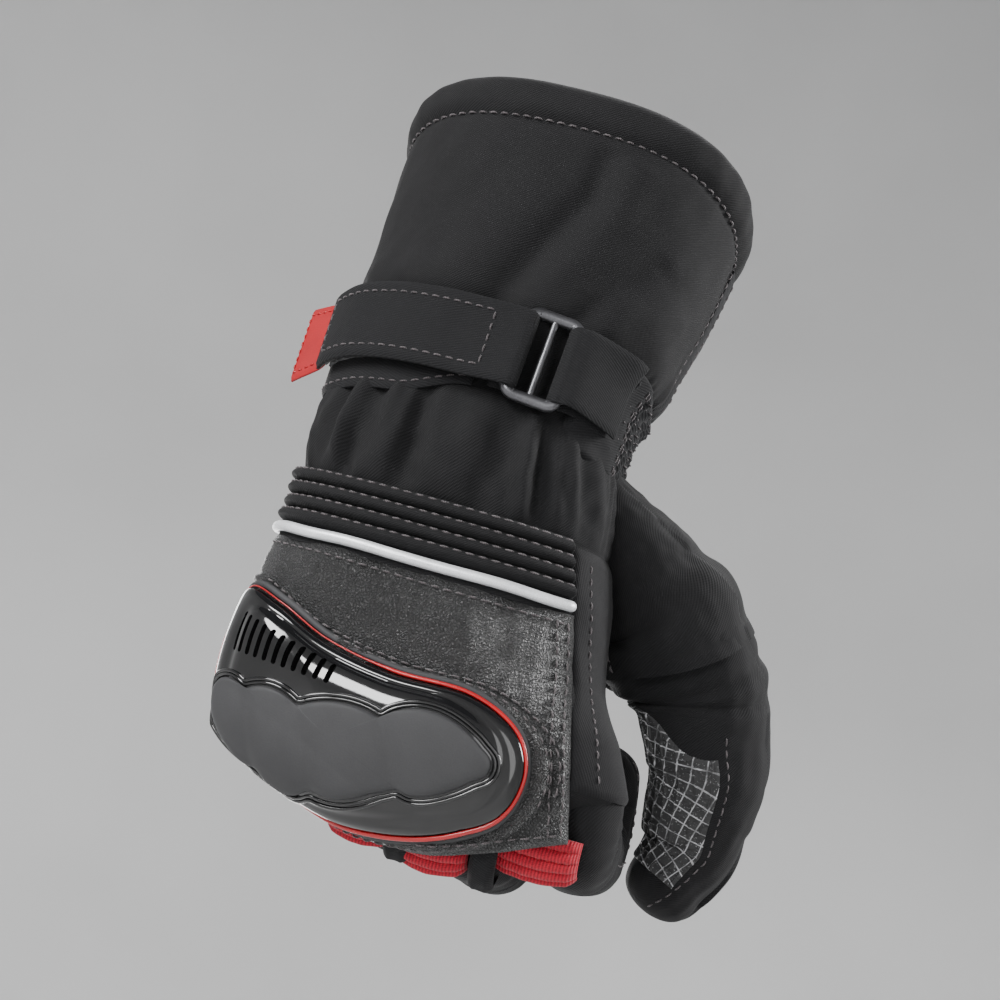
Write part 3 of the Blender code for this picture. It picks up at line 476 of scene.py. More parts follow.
def fleece(name, dark, light):
    r = Recipe(name, sheen_weight=0.15, sheen_roughness=0.6, specular_ior_level=0.15)
    tuft = r.cells(420.0, "F1")
    fuzz = r.noise(900.0, 4.0, 0.7)
    shade = r.math("MULTIPLY_ADD", tuft, 0.6, r.math("MULTIPLY", fuzz, 0.5))
    r.colour(shade, [(0.1, dark), (0.8, light)])
    r.roughness(fuzz, 0.85, 1.0)
    return r.bumps((tuft, 0.8, 0.0012), (fuzz, 0.6, 0.0008))


def grained_leather(name, dark, light, cell=1180.0, rough=(0.3, 0.44)):
    """Leather: pebbles of two sizes between fine creases, brighter where it is rubbed; the colour also
    carries painted shade in the creases and a painted highlight on the pebble tops.
    """
    r = Recipe(name, specular_ior_level=0.7)
    warp = r.node("TexNoise", {"Vector": r.solid, "Scale": 300.0, "Detail": 2.0}).outputs["Color"]
    bent = r.node("VectorMath", {0: warp, 1: (0.0006,) * 3}, operation="MULTIPLY")
    bent = r.node("VectorMath", {0: bent.outputs[0], 1: r.solid}, operation="ADD").outputs[0]
    large = r.ramp(r.cells(cell, space=bent), [(0.03, 0.0), (0.26, 0.9), (0.6, 1.0)])
    small = r.ramp(r.cells(cell * 2.3, space=bent), [(0.0, 0.0), (0.35, 0.8), (1.0, 1.0)])
    grain = r.math("MULTIPLY_ADD", small, 0.45, large)
    rubbed = r.ramp(r.noise(38.0, 4.0, 0.6), [(0.35, 0.0), (0.75, 1.0)])
    # painted shade and highlight: the grain darkens the creases and lightens the pebble tops in the colour,
    # on top of its real relief in the bump
    shade = r.math("MULTIPLY_ADD", rubbed, 0.2, r.math("MULTIPLY", grain, 0.52))
    r.colour(shade, [(0.1, dark), (0.9, light)])
    r.roughness(r.noise(110.0, 3.0), *rough)
    return r.bumps((r.noise(75.0, 3.0), 0.35, 0.0012), (grain, 1.0, 0.00045),
                   (r.noise(2600.0), 0.12, 0.0001))


def gloss(name, dark, light, rough=(0.05, 0.16)):
    """Polished moulding with faint hairline scratches and flow marks."""
    r = Recipe(name, specular_ior_level=0.45, coat_weight=0.25, coat_roughness=0.05)
    marks = r.noise(55.0, 5.0, 0.65)
    drawn = r.node("Mapping", {"Vector": r.solid, "Scale": (1.0, 9.0, 1.0),
                               "Rotation": (0.0, 0.4, 0.7)})
    hair = r.ramp(r.noise(620.0, 4.0, 0.8, drawn.outputs[0]), [(0.62, 0.0), (0.7, 1.0)])
    r.colour(marks, [(0.2, dark), (0.85, light)])
    r.roughness(r.math("MULTIPLY_ADD", hair, 0.5, r.math("MULTIPLY", marks, 0.6)), *rough)
    return r.bumps((marks, 0.04, 0.0006), (hair, 0.05, 0.00005))


def moulded(name, dark, light, rough=(0.42, 0.6), grain=2400.0, metallic=0.0, bump=0.3):
    """Spark-eroded plastic or satin metal with a fine even grain and rubbed patches."""
    r = Recipe(name, specular_ior_level=0.35, metallic=metallic)
    fine = r.noise(grain, 2.0, 0.6)
    rubbed = r.noise(70.0, 4.0, 0.6)
    shade = r.math("MULTIPLY_ADD", fine, 0.35, r.math("MULTIPLY", rubbed, 0.6))
    r.colour(shade, [(0.2, dark), (0.8, light)])
    r.roughness(rubbed, *rough)
    return r.bumps((fine, bump, 0.00012), (rubbed, 0.1, 0.0006))


def glass_bead(name):
    """Silver reflective film: packed beads under a clear face."""
    r = Recipe(name, specular_ior_level=0.6, metallic=0.35)
    beads = r.cells(3600.0, "F1")
    scuffs = r.noise(120.0, 5.0, 0.7)
    r.colour(r.math("MULTIPLY_ADD", beads, 0.4, r.math("MULTIPLY", scuffs, 0.7)),
             [(0.15, (0.36, 0.37, 0.38)), (0.75, (0.74, 0.75, 0.77))])
    r.roughness(scuffs, 0.3, 0.5)
    return r.bumps((beads, 0.35, 0.0001), (scuffs, 0.15, 0.0004))


def twisted_thread(name, dark, light):
    r = Recipe(name, sheen_weight=0.2, sheen_roughness=0.4, specular_ior_level=0.4)
    strand = r.node("TexWave", {"Vector": r.solid, "Scale": 900.0, "Distortion": 0.6},
                    bands_direction="DIAGONAL").outputs["Fac"]
    r.colour(r.math("MULTIPLY_ADD", r.noise(200.0), 0.5, r.math("MULTIPLY", strand, 0.5)),
             [(0.2, dark), (0.85, light)])
    r.roughness(strand, 0.5, 0.75)
    return r.bumps((strand, 0.5, 0.0002))


def printed_silicone(name):
    """Dark cloth ground whose raised lines carry pale worn silicone, with stray flecks."""
    r = Recipe(name, specular_ior_level=0.45)
    lines = r.ribs(0.004, 0.26)
    cross = r.ribs(0.004, 0.26 + math.pi / 2)
    thin = [(0.965, 0.0), (0.99, 1.0)]
    grid = r.math("MAXIMUM", r.ramp(lines, thin), r.ramp(cross, thin))
    flecks = r.ramp(r.noise(1400.0, 3.0, 0.7), [(0.6, 0.0), (0.66, 1.0)])
    worn = r.ramp(r.noise(220.0, 3.0, 0.6), [(0.35, 0.15), (0.6, 1.0)])
    shade = r.math("MULTIPLY", r.math("MAXIMUM", grid, r.math("MULTIPLY", flecks, 0.7)), worn)
    r.colour(shade, [(0.0, (0.014, 0.014, 0.0145)), (1.0, (0.3, 0.3, 0.31))])
    r.roughness(shade, 0.75, 0.4)
    return r.bumps((shade, 0.5, 0.0003), (r.noise(1500.0), 0.3, 0.0002))


def carrier_mesh(name):
    """Open black backing seen through the vents."""
    r = Recipe(name, specular_ior_level=0.25)
    holes = r.cells(900.0)
    r.colour(r.ramp(holes, [(0.05, 0.0), (0.3, 1.0)]), [(0.0, (0.018,) * 3), (1.0, (0.003,) * 3)])
    r.roughness(holes, 0.7, 0.95)
    return r.bumps((holes, 0.8, 0.0005))


MATS = {
    "softshell": fabric("softshell", (0.0035, 0.0035, 0.0038), (0.0145, 0.0143, 0.0152)),
    "side_cloth": fabric("side_cloth", (0.006, 0.006, 0.0066), (0.023, 0.023, 0.0245),
                         pitch=0.0008, turn=-0.8),
    "stretch": fabric("stretch_cloth", (0.004, 0.004, 0.0045), (0.016, 0.0155, 0.0165), pitch=0.0007,
                      turn=0.3, weave=0.35, sheen=0.05),
    "webbing": fabric("webbing", (0.0035, 0.0035, 0.004), (0.014, 0.014, 0.015), pitch=0.0007,
                      turn=1.2),
    "elastic": ribbed_knit("elastic", (0.0035, 0.0035, 0.004), (0.013, 0.013, 0.0135), 0.0013),
    "red_knit": ribbed_knit("red_knit", (0.16, 0.001, 0.007), (0.42, 0.004, 0.02), 0.0009),
    "lining": fleece("lining", (0.007, 0.007, 0.0075), (0.026, 0.026, 0.0275)),
    "loop_pile": fleece("loop_pile", (0.01, 0.01, 0.011), (0.035, 0.035, 0.037)),
    "leather": grained_leather("leather", (0.0012, 0.0012, 0.0012), (0.03, 0.03, 0.031)),
    "palm_leather": grained_leather("palm_leather", (0.005, 0.005, 0.005),
                                    (0.018, 0.018, 0.0185), 1700.0, (0.5, 0.72)),
    "gloss_black": gloss("gloss_black", (0.0022, 0.0022, 0.0024), (0.0075, 0.0075, 0.008)),
    "red_rubber": gloss("red_rubber", (0.22, 0.0015, 0.003), (0.42, 0.005, 0.008), (0.2, 0.42)),
    "red_tab": moulded("red_tab", (0.17, 0.001, 0.003), (0.36, 0.003, 0.007), (0.5, 0.7)),
    "matte_grey": moulded("matte_grey", (0.02, 0.02, 0.021), (0.036, 0.036, 0.038), (0.6, 0.76)),
    "gunmetal": moulded("gunmetal", (0.045, 0.045, 0.048), (0.17, 0.17, 0.18), (0.26, 0.48),
                        1800.0, metallic=0.85, bump=0.2),
    "hook_pile": moulded("hook_pile", (0.006, 0.006, 0.006), (0.018, 0.018, 0.018), (0.5, 0.7),
                         2000.0),
    "silicone": moulded("silicone", (0.075, 0.077, 0.08), (0.19, 0.195, 0.2), (0.35, 0.55),
                        1500.0),
    "silicone_print": printed_silicone("silicone_print"),
    "reflective": glass_bead("reflective"),
    "thread": twisted_thread("thread", (0.02, 0.0165, 0.0175), (0.085, 0.072, 0.076)),
    "mesh": carrier_mesh("carrier_mesh"),
}


# ---- gauntlet ----------------------------------------------------------------------
TURN = 2 * math.pi
HEM_DOWN = 8.6             # stitch line under the padded rim
CUFF_LIFT = 0.9            # outer fabric over the CAD shell
AROUND = 45.0              # millimetres of cloth for one radian round the tube


def centred(angle):
    """Angle as -180 to 180 degrees from the thumb side."""
    return (np.degrees(angle) + 180.0) % 360.0 - 180.0


def cuff_off(angle, down):
    """Height of the gauntlet's outer fabric: folds, seam dip and gathers at the strap."""
    side = centred(angle)
    s = angle * AROUND
    across, _ = section_point(GAUNTLET_SECTIONS, angle, down, 0.0)
    back = ease(np.sin(angle), 0.15, 0.5)
    cinch = ease(down, 57.0, 63.0) * (1.0 - 0.4 * ease(down, 82.0, 88.0))
    calm = 1.0 - 0.75 * cinch
    off = CUFF_LIFT + calm * (0.5 * ripple(s, down, 60.0, 3) + 0.14 * ripple(s, down, 17.0, 4))
    body = ease(down, HEM_DOWN, HEM_DOWN + 7.0)
    off = off + body * back * (
        1.5 * crease(across, down, [(-22, 60), (-12, 44), (-4, 30)], 8.0)
        - 1.9 * crease(across, down, [(-4, 60), (4, 40), (12, 26), (13, 13)], 4.2)
        + 1.5 * crease(across, down, [(5, 62), (14, 44), (20, 30), (21, 16)], 6.0)
        - 1.3 * crease(across, down, [(16, 60), (24, 46), (34, 36)], 3.4)
        + 1.2 * crease(across, down, [(24, 60), (33, 50), (42, 43)], 4.0)
        - 0.9 * crease(across, down, [(-30, 60), (-33, 48), (-40, 38)], 4.5))
    palm = ease(-np.sin(angle), 0.1, 0.5)
    off = off + body * palm * (
        -1.4 * crease(across, down, [(-36, 58), (-16, 46), (8, 48)], 4.5)
        + 1.0 * crease(across, down, [(-30, 50), (-12, 38), (14, 38)], 6.0)
        - 1.2 * crease(across, down, [(38, 56), (22, 44), (10, 30)], 4.0))
    off = off + 1.6 * np.exp(-((down - 55.0) / 6.5) ** 2) * (0.55 + 0.45 * ripple(s, down, 26.0, 7))
    pucker = np.exp(-(np.clip(np.abs(side + 22.0) - 38.0, 0, None) / 12.0) ** 2)
    tucks = np.sin(s * TURN / 5.2 + 1.6 * ripple(s, down, 30.0, 8))
    return off - 0.75 * cinch + pucker * cinch * 0.9 * tucks


def rim_profile():
    """(down, off) from inside the mouth, over the padded rim, to the hem stitching."""
    roll = [(9.0, -3.5), (5.0, -3.7), (1.4, -3.6), (-1.2, -2.7), (-2.4, -0.9), (-2.0, 1.1),
            (-0.3, 2.5), (2.4, 3.0), (5.4, 2.7), (7.4, 1.7), (HEM_DOWN, 0.55)]
    return spline(np.array([(a, b, 0.0) for a, b in roll]), 44)[:, :2]


def catmull_rom(a, b, c, d, t):
    """Curve from b to c, shaped by the points before and after them."""
    return 0.5 * (2 * b + (c - a) * t + (2 * a - 5 * b + 4 * c - d) * t**2
                  + (3 * b - a - 3 * c + d) * t**3)


def spline(points, count, closed=False):
    """Even Catmull-Rom curve through a row of points."""
    points = np.asarray(points, float)
    n = len(points)
    spans = n if closed else n - 1
    t = np.linspace(0, spans, 16 * spans + 1)
    i = np.minimum(t.astype(int), spans - 1)
    f = (t - i)[:, None]
    pick = (lambda k: points[k % n]) if closed else (lambda k: points[np.clip(k, 0, n - 1)])
    a, b, c, d = pick(i - 1), pick(i), pick(i + 1), pick(i + 2)
    total, at = walk(catmull_rom(a, b, c, d, f))
    s = np.linspace(0.0, total, count + 1)[:-1] if closed else np.linspace(0.0, total, count)
    return at(s)


def build_gauntlet():
    angles = np.linspace(0, TURN, 421)[:-1]
    rim = rim_profile()
    downs = np.concatenate([rim[:, 0], np.arange(HEM_DOWN + 0.8, GAUNTLET_LENGTH - 1.0, 0.85)])
    offs = np.concatenate([rim[:, 1], np.zeros(len(downs) - len(rim))])
    angle, down = np.meshgrid(angles, downs)
    on_rim = 1.0 - ease(down, HEM_DOWN, HEM_DOWN + 3.0)
    on_rim[:len(rim)] = 1.0
    puffs = 0.22 * ripple(angle * AROUND, down, 15.0, 11)
    high = on_rim * (offs[:, None] + puffs * ease(offs[:, None], 0.4, 2.0)) * (down <= HEM_DOWN + 0.1)
    high = high + (down > HEM_DOWN + 0.1) * (cuff_off(angle, down)
                                             - 0.5 * np.exp(-((down - HEM_DOWN) / 1.6) ** 2))
    outer = gauntlet_point(angle, down, high)
    inner = outer - grid_normals(outer) * 0.55
    piece = two_skins("gauntlet_fabric", outer, inner, MATS["softshell"], "softshell", ring=True)
    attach(piece, "gauntlet")
    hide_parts("gauntlet_shell", "hem_binding")

    def lining_off(a, d):
        return -4.0 + 0.4 * ripple(a * AROUND, d, 24.0, 21) - 0.5 * ease(d, 50, 74)
    lining = skin("gauntlet_fleece", gauntlet_point, np.linspace(0, TURN, 181)[:-1],
                  np.linspace(3.5, 74.0, 60), lining_off, 0.9, MATS["lining"], "lining", ring=True)
    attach(lining, "gauntlet")
    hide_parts("gauntlet_lining")

    def side_off(a, d):
        edge = np.minimum(centred(a) + 74.0, -centred(a) - 4.0) / 2.2
        ends = np.minimum(d - 10.5, 60.0 - d) / 1.6
        return cuff_off(a, d) + 0.15 + 0.75 * rounded(edge, ends)
    side = skin("side_panel_fabric", gauntlet_point, np.radians(np.linspace(-74, -4, 90)),
                np.linspace(10.5, 60.0, 70), side_off, 0.5, MATS["side_cloth"], "softshell")
    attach(side, "gauntlet")
    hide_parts("palm_side_panel")

    hem = seam_run(gauntlet_point, np.linspace(0, TURN, 400), HEM_DOWN, 0.75)
    inside = seam_run(gauntlet_point, np.linspace(0, TURN, 400), 6.5, -4.0)
    inside = (inside[0], -inside[1])
    d = np.linspace(12.0, 58.0, 60)
    rows = [hem, inside]
    for degrees, lift in ((-2.2, 0.1), (-9.0, 0.85), (-69.5, 0.85)):
        rows.append(seam_on(gauntlet_point, cuff_off, np.radians(degrees), d, lift))
    rows.append(seam_on(gauntlet_point, cuff_off, np.radians(184.0), np.linspace(12.0, 60.0, 60), 0.1))
    sewn = stitches("gauntlet_stitching", rows, MATS["thread"], 2.3, 1.0, 0.3)
    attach(sewn, "gauntlet")

    def gather_off(a, d):
        s = a * AROUND
        rows = 0.35 * np.cos((d - 64.0) * TURN / 5.0)
        puff = 0.85 * np.sin(s * TURN / 4.6 + 1.2 * ripple(s, d, 22.0, 33))
        puff = puff * ease(d, 59.5, 64) * (1 - ease(d, 82, 88))
        ends = np.minimum(ease(d, 59.5, 62.0), 1 - ease(d, 85.0, 87.5))
        return 0.9 + ends * (1.5 + rows + puff + 0.3 * ripple(s, d, 12.0, 34))
    gather = skin("wrist_gathers", gauntlet_point, np.radians(np.linspace(-104, 26, 300)),
                  np.linspace(59.5, 87.5, 64), gather_off, 0.6, MATS["side_cloth"], "elastic")
    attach(gather, "gauntlet")
    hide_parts("wrist_elastic")
    a = np.radians(np.linspace(-98, 22, 240))
    rows = [seam_on(gauntlet_point, gather_off, a, level, 0.05) for level in (64.0, 69.0, 74.0, 79.0)]
    sewn = stitches("gather_stitching", rows, MATS["thread"], 1.9, 0.9, 0.22)
    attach(sewn, "gauntlet")


# ---- strap and buckle --------------------------------------------------------------
def strap_angle(across):
    return float(angle_at(GAUNTLET_SECTIONS, np.float64(across), STRAP_MIDDLE))


def buckle_axes():
    centre = gauntlet_point(strap_angle(BUCKLE_X), STRAP_MIDDLE, BUCKLE_LEVEL)
    ahead = gauntlet_point(strap_angle(BUCKLE_X + 4), STRAP_MIDDLE, BUCKLE_LEVEL)
    ahead = ahead - gauntlet_point(strap_angle(BUCKLE_X - 4), STRAP_MIDDLE, BUCKLE_LEVEL)
    ahead[2] = 0.0
    ahead = unit(ahead)
    up = np.array([0.0, 0.0, 1.0])
    return centre, ahead, np.cross(ahead, up), up


def strap_route(route, down):
    """Middle line of a strap at one distance down, through (angle, off) or buckle places."""
    centre, ahead, out, _ = buckle_axes()
    spots = []
    for place in route:
        if place[0] == "buckle":
            spot = centre + ahead * place[1] + out * place[2]
            spot[2] = gauntlet_point(math.pi / 2, down)[2]
        else:
            spot = gauntlet_point(place[0], down, place[1])
        spots.append(spot)
    return spline(spots, 150)


STRAP_ROWS = 22


def strap_grid(route, top, foot, thick, sag=None):
    """Outer and inner skins of a woven strap with rounded selvedges."""
    outer, inner = [], []
    for share in np.linspace(0.0, 1.0, STRAP_ROWS):
        line = strap_route(route, top + (foot - top) * share)
        place = np.linspace(0.0, 1.0, len(line))
        if sag is not None:
            line[:, 2] -= sag(place)
        side = unit(np.cross(np.gradient(line, axis=0), [0.0, 0.0, 1.0]))
        edge = min(share, 1.0 - share) * (foot - top)
        ends = np.minimum(place, 1.0 - place) * 60.0
        worn = np.sqrt(np.clip(np.minimum(edge / 0.9 + 0.12, ends + 0.15), 0.0, 1.0))
        half = thick / 2 * worn[:, None]
        outer.append(line + side * half)
        inner.append(line - side * half)
    return np.array(outer), np.array(inner)


def edge_rows(grid, inset_rows, start=2, end=-2):
    """Stitch runs along a strap grid at the given rows, facing out of it."""
    outer, inner = grid
    away = unit(outer - inner)
    return [(outer[r, start:end], away[r, start:end]) for r in inset_rows]


def build_strap():
    half_turn = np.radians(np.linspace(-90, 90, 7))
    bar = BUCKLE_BAR / 2 - BUCKLE_WIDTH / 2
    lower = [(math.radians(a), STANDING_LEVEL) for a in np.linspace(250, 150, 11)]
    lower += [(strap_angle(x), STANDING_LEVEL) for x in (-34, -26, -17, -8, -3)]
    grid = strap_grid(lower, STRAP_TOP, STRAP_FOOT, 1.7,
                      sag=lambda p: 6.4 * ease(p, 0.25, 0.6) * (1 - ease(p, 0.8, 1.0)))
    strap = two_skins("strap_lower_webbing", *grid, MATS["webbing"], "webbing")
    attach(strap, "gauntlet")
    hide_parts("strap_standing_part")
    sewn = stitches("strap_lower_stitching", edge_rows(grid, (2, 19)), MATS["thread"],
                    2.2, 0.9, 0.26)
    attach(sewn, "gauntlet")

    loop = [("buckle", bar - 4.0, -TURN_RADIUS)]
    loop += [("buckle", bar + TURN_RADIUS * math.cos(t), TURN_RADIUS * math.sin(t)) for t in half_turn]
    upper = [(strap_angle(x), FREE_LEVEL) for x in (-7, -16, -25, -33, -37.5)]
    upper += [(math.radians(a), FREE_LEVEL) for a in (150, 155, 160)]
    grid = strap_grid(loop + upper, STRAP_TOP + 0.3, STRAP_FOOT - 0.3, 2.1)
    strap = two_skins("strap_folded_webbing", *grid, MATS["webbing"], "webbing")
    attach(strap, "strap_end")
    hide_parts("strap_free_end")
    face = (grid[1], grid[0])
    rows = edge_rows(face, (3, 18), 40, -8)
    for column in (40, 141):
        rows.append((face[0][3:-3, column], unit(face[0] - face[1])[3:-3, column]))
    sewn = stitches("strap_folded_stitching", rows, MATS["thread"], 2.2, 0.9, 0.28)
    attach(sewn, "strap_end")

    tab = [(math.radians(a), off)
           for a, off in ((158.5, 5.3), (162.0, 6.0), (166.0, 7.6), (170.0, 9.8), (173.5, 12.2))]
    grid = strap_grid(tab, STRAP_TOP + 1.2, STRAP_FOOT - 1.2, 1.5, sag=lambda p: 1.5 * p)
    down, along = grid[0].shape[:2]
    flare = np.linspace(0.0, 1.0, along)[None, :] * np.linspace(-1, 1, down)[:, None]
    for skin_grid in grid:
        skin_grid[..., 2] -= 1.6 * flare
    red = two_skins("pull_tab_red", *grid, MATS["red_tab"], "red_rubber")
    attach(red, "pull_tab")
    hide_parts("pull_tab")
    outside, inside = grid[1], grid[0]
    away = unit(outside - inside)
    rim = np.concatenate([outside[2, 8:-6], outside[2:-2, -6], outside[-3, 8:-6][::-1]])
    face = np.concatenate([away[2, 8:-6], away[2:-2, -6], away[-3, 8:-6][::-1]])
    sewn = stitches("pull_tab_stitching", [(rim, face)], MATS["red_rubber"], 1.6, 0.7, 0.24)
    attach(sewn, "pull_tab")

    loop = [(strap_angle(30), 4.4), (strap_angle(27.5), 4.6), ("buckle", 4.0 - bar, -TURN_RADIUS)]
    loop += [("buckle", -bar - TURN_RADIUS * math.cos(t), TURN_RADIUS * math.sin(t)) for t in half_turn]
    loop += [("buckle", 4.5 - bar, TURN_RADIUS - 0.1), (strap_angle(27.5), 7.0), (strap_angle(30.5), 6.6)]
    grid = strap_grid(loop, STRAP_TOP + 0.3, STRAP_FOOT - 0.3, 1.7)
    anchor = two_skins("anchor_loop_webbing", *grid, MATS["webbing"], "webbing")
    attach(anchor, "gauntlet")
    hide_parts("anchor_loop")
    away = unit(grid[1] - grid[0])
    rows = [(grid[1][1:-1, 118], away[1:-1, 118])]
    rows += [(grid[1][r, 85:146], away[r, 85:146]) for r in (2, 19)]
    sewn = stitches("anchor_loop_stitching", rows, MATS["thread"], 2.2, 0.9, 0.28)
    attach(sewn, "gauntlet")

    def tab_off(a, d):
        side = np.minimum(np.degrees(a) - 9.0, 53.0 - np.degrees(a)) / 3.0
        ends = np.minimum(d - 60.0, 90.5 - d) / 1.6
        padding = 1.7 * ease(np.degrees(a), 20, 40) * (1 - ease(d, 81, 86))
        return 1.3 + rounded(side, ends) * (1.9 + padding + 0.3 * ripple(a * 45, d, 14.0, 41))
    tab = skin("anchor_tab_fabric", gauntlet_point, np.radians(np.linspace(9, 53, 70)),
               np.linspace(60, 90.5, 60), tab_off, 1.1, MATS["webbing"], "softshell")
    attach(tab, "gauntlet")
    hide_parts("anchor_tab")
    d = np.linspace(62.0, 88.5, 40)
    rows = [seam_on(gauntlet_point, tab_off, np.radians(degrees), d, 0.05) for degrees in (12.2, 15.0)]
    sewn = stitches("anchor_tab_stitching", rows, MATS["thread"], 2.2, 0.9, 0.26)
    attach(sewn, "gauntlet")

    centre, ahead, _, up = buckle_axes()
    corner, wide, tall = 3.4, BUCKLE_WIDTH / 2 - 1.1, BUCKLE_HEIGHT / 2 - 1.1
    ring = []
    for quarter, (sx, sz) in enumerate(((1, 1), (-1, 1), (-1, -1), (1, -1))):
        for t in np.radians(np.linspace(90 * quarter, 90 * quarter + 90, 9)):
            ring.append(centre + ahead * (sx * (wide - corner) + corner * math.cos(t))
                        + up * (sz * (tall - corner) + corner * math.sin(t)))
    ring = spline(ring, 220, closed=True)
    thick = 1.25 + 0.35 * ease(np.abs((ring - centre) @ up), tall - 3.5, tall - 0.5)
    frame_ring = tube_along("buckle_frame", ring, thick, MATS["gunmetal"], 16,
                            closed=True, sharp=0)
    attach(frame_ring, "buckle")
    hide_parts("buckle")
    line = np.array([centre + up * z for z in np.linspace(-tall + 0.4, tall - 0.4, 24)])
    bar_piece = tube_along("buckle_bar", line, 0.95, MATS["gunmetal"], 14)
    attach(bar_piece, "buckle")


# ---- wrist and hand ----------------------------------------------------------------
def grid_normals(grid):
    """Unit normals of a ring-shaped grid, facing away from the middle of its last row."""
    across = np.roll(grid, -1, 1) - np.roll(grid, 1, 1)
    normal = unit(np.cross(unit(across), unit(np.gradient(grid, axis=0))))
    away = grid[-1, 0] - grid[-1].mean(0)
    return -normal if normal[-1, 0] @ away < 0 else normal


def wrist_end(angle):
    """Along position where the wrist cloth ends: under the ribs, lower on the palm side."""
    return 12.0 + 4.0 * ease(-np.sin(angle), -0.2, 0.6)


def build_wrist():
    angles = np.linspace(0, TURN, 381)[:-1]
    angle, v = np.meshgrid(angles, np.linspace(0, 1, 56))
    start, start_on = gauntlet_point(angle, 79.0, 0.8), gauntlet_point(angle, 89.0, 0.9)
    finish = hand_point(angle, wrist_end(angle), 0.9)
    before = hand_point(angle, wrist_end(angle) - 10.0, 0.9)
    a, b = start_on - start, finish - before
    t = v[..., None]
    base = ((2 * t**3 - 3 * t**2 + 1) * start + (t**3 - 2 * t**2 + t) * a * 2.6
            + (3 * t**2 - 2 * t**3) * finish + (t**3 - t**2) * b * 2.2)
    normal = grid_normals(base)
    s = angle * 38.0
    middle = np.sin(np.pi * np.clip((v - 0.12) / 0.86, 0, 1)) ** 0.8
    back = ease(np.sin(angle), -0.1, 0.5)
    flow = s + 5.0 * (v - 0.5) * np.sin(s / 17.0)
    folds = (np.sin(flow * TURN / 14.0 + 1.3 * ripple(s, v * 30, 40.0, 51) + 0.6)
             + 0.45 * np.sin(flow * TURN / 8.3 + 2.0 * ripple(s, v * 30, 30.0, 52)))
    folds = np.sign(folds) * np.abs(folds) ** 0.85 * (0.25 + 0.75 * ease(np.sin(angle), 0.5, 0.85))
    gathers = np.sin(s * TURN / 5.4 + 1.4 * ripple(s, v * 30, 22.0, 53))
    puff = middle * (1.4 + back * 1.3)
    lift = puff + middle * (back * 2.3 * folds + (1 - back) * 0.8 * gathers)
    lift = lift + 0.25 * ripple(s, v * 34, 9.0, 54) * middle
    outer = base + normal * lift[..., None]
    inner = outer - grid_normals(outer) * 0.7
    cloth = two_skins("wrist_fabric", outer, inner, MATS["softshell"], "softshell", ring=True)
    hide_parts("wrist_back_panel", "wrist_sleeve")
    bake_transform(cloth)


def seam_across(along):
    return smooth_value(SEAM_LINE, along)


def hand_skin_end(angle):
    across, _ = section_point(HAND_SECTIONS, angle, 72.0, 0.0)
    return smooth_value(KNUCKLE_LINE, across) - 4.0


def hand_share_point(angle, share, off):
    start = wrist_end(angle) - 4.0
    return hand_point(angle, start + (hand_skin_end(angle) - start) * share, off)


def hand_skin_off(angle, share):
    s = angle * AROUND
    palm = ease(-np.sin(angle), 0.0, 0.5)
    side = np.exp(-((centred(angle) + 4.0) / 24.0) ** 2)
    off = 0.55 + 0.35 * ripple(s, share * 70, 34.0, 61) + 0.12 * ripple(s, share * 70, 11.0, 62)
    off = off + palm * 1.1 * np.sin(share * TURN * 2.2 + 0.8 * ripple(s, share * 70, 40.0, 63))
    off = off + side * 0.7 * ripple(s * 0.5, share * 90, 18.0, 64)
    return off - 6.5 * ease(share, 0.86, 1.0) ** 1.5


def build_hand_skin():
    skin_piece = skin("hand_fabric", hand_share_point, np.linspace(0, TURN, 361)[:-1],
                      np.linspace(0, 1, 90), hand_skin_off, 0.8, MATS["softshell"], "softshell",
                      ring=True)
    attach(skin_piece, "hand")
    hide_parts("hand_shell")

    def gusset_point(u, along, off):
        seam = angle_at(HAND_SECTIONS, seam_across(along) - 0.5, along)
        return hand_point(seam + u * (math.radians(-42.0) - seam), along, off)

    def gusset_off(u, along):
        edge = np.minimum(u, 1 - u) * 22.0
        ends = np.minimum(along - 3.0, 73.0 - along) / 1.8
        shown = ease(along, 10.5, 15.0)
        wave = 0.8 * np.sin(along / 7.5 + 3.0 * u) * np.exp(-((u - 0.4) / 0.3) ** 2)
        return (0.1 + 0.3 * shown + (0.4 + 0.8 * shown) * rounded(edge, ends)
                + shown * (wave * 0.5 + 0.3 * ripple(u * 40, along, 16.0, 66)))
    gusset = skin("side_gusset_fabric", gusset_point, np.linspace(0, 1, 80),
                  np.linspace(4, 73, 115), gusset_off, 0.9, MATS["stretch"], "softshell")
    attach(gusset, "hand")
    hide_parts("side_gusset")
    row = seam_on(gusset_point, gusset_off, 0.16, np.linspace(15, 70, 80), 0.05)
    sewn = stitches("gusset_stitching", [row], MATS["thread"], 2.2, 1.0, 0.24)
    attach(sewn, "hand")


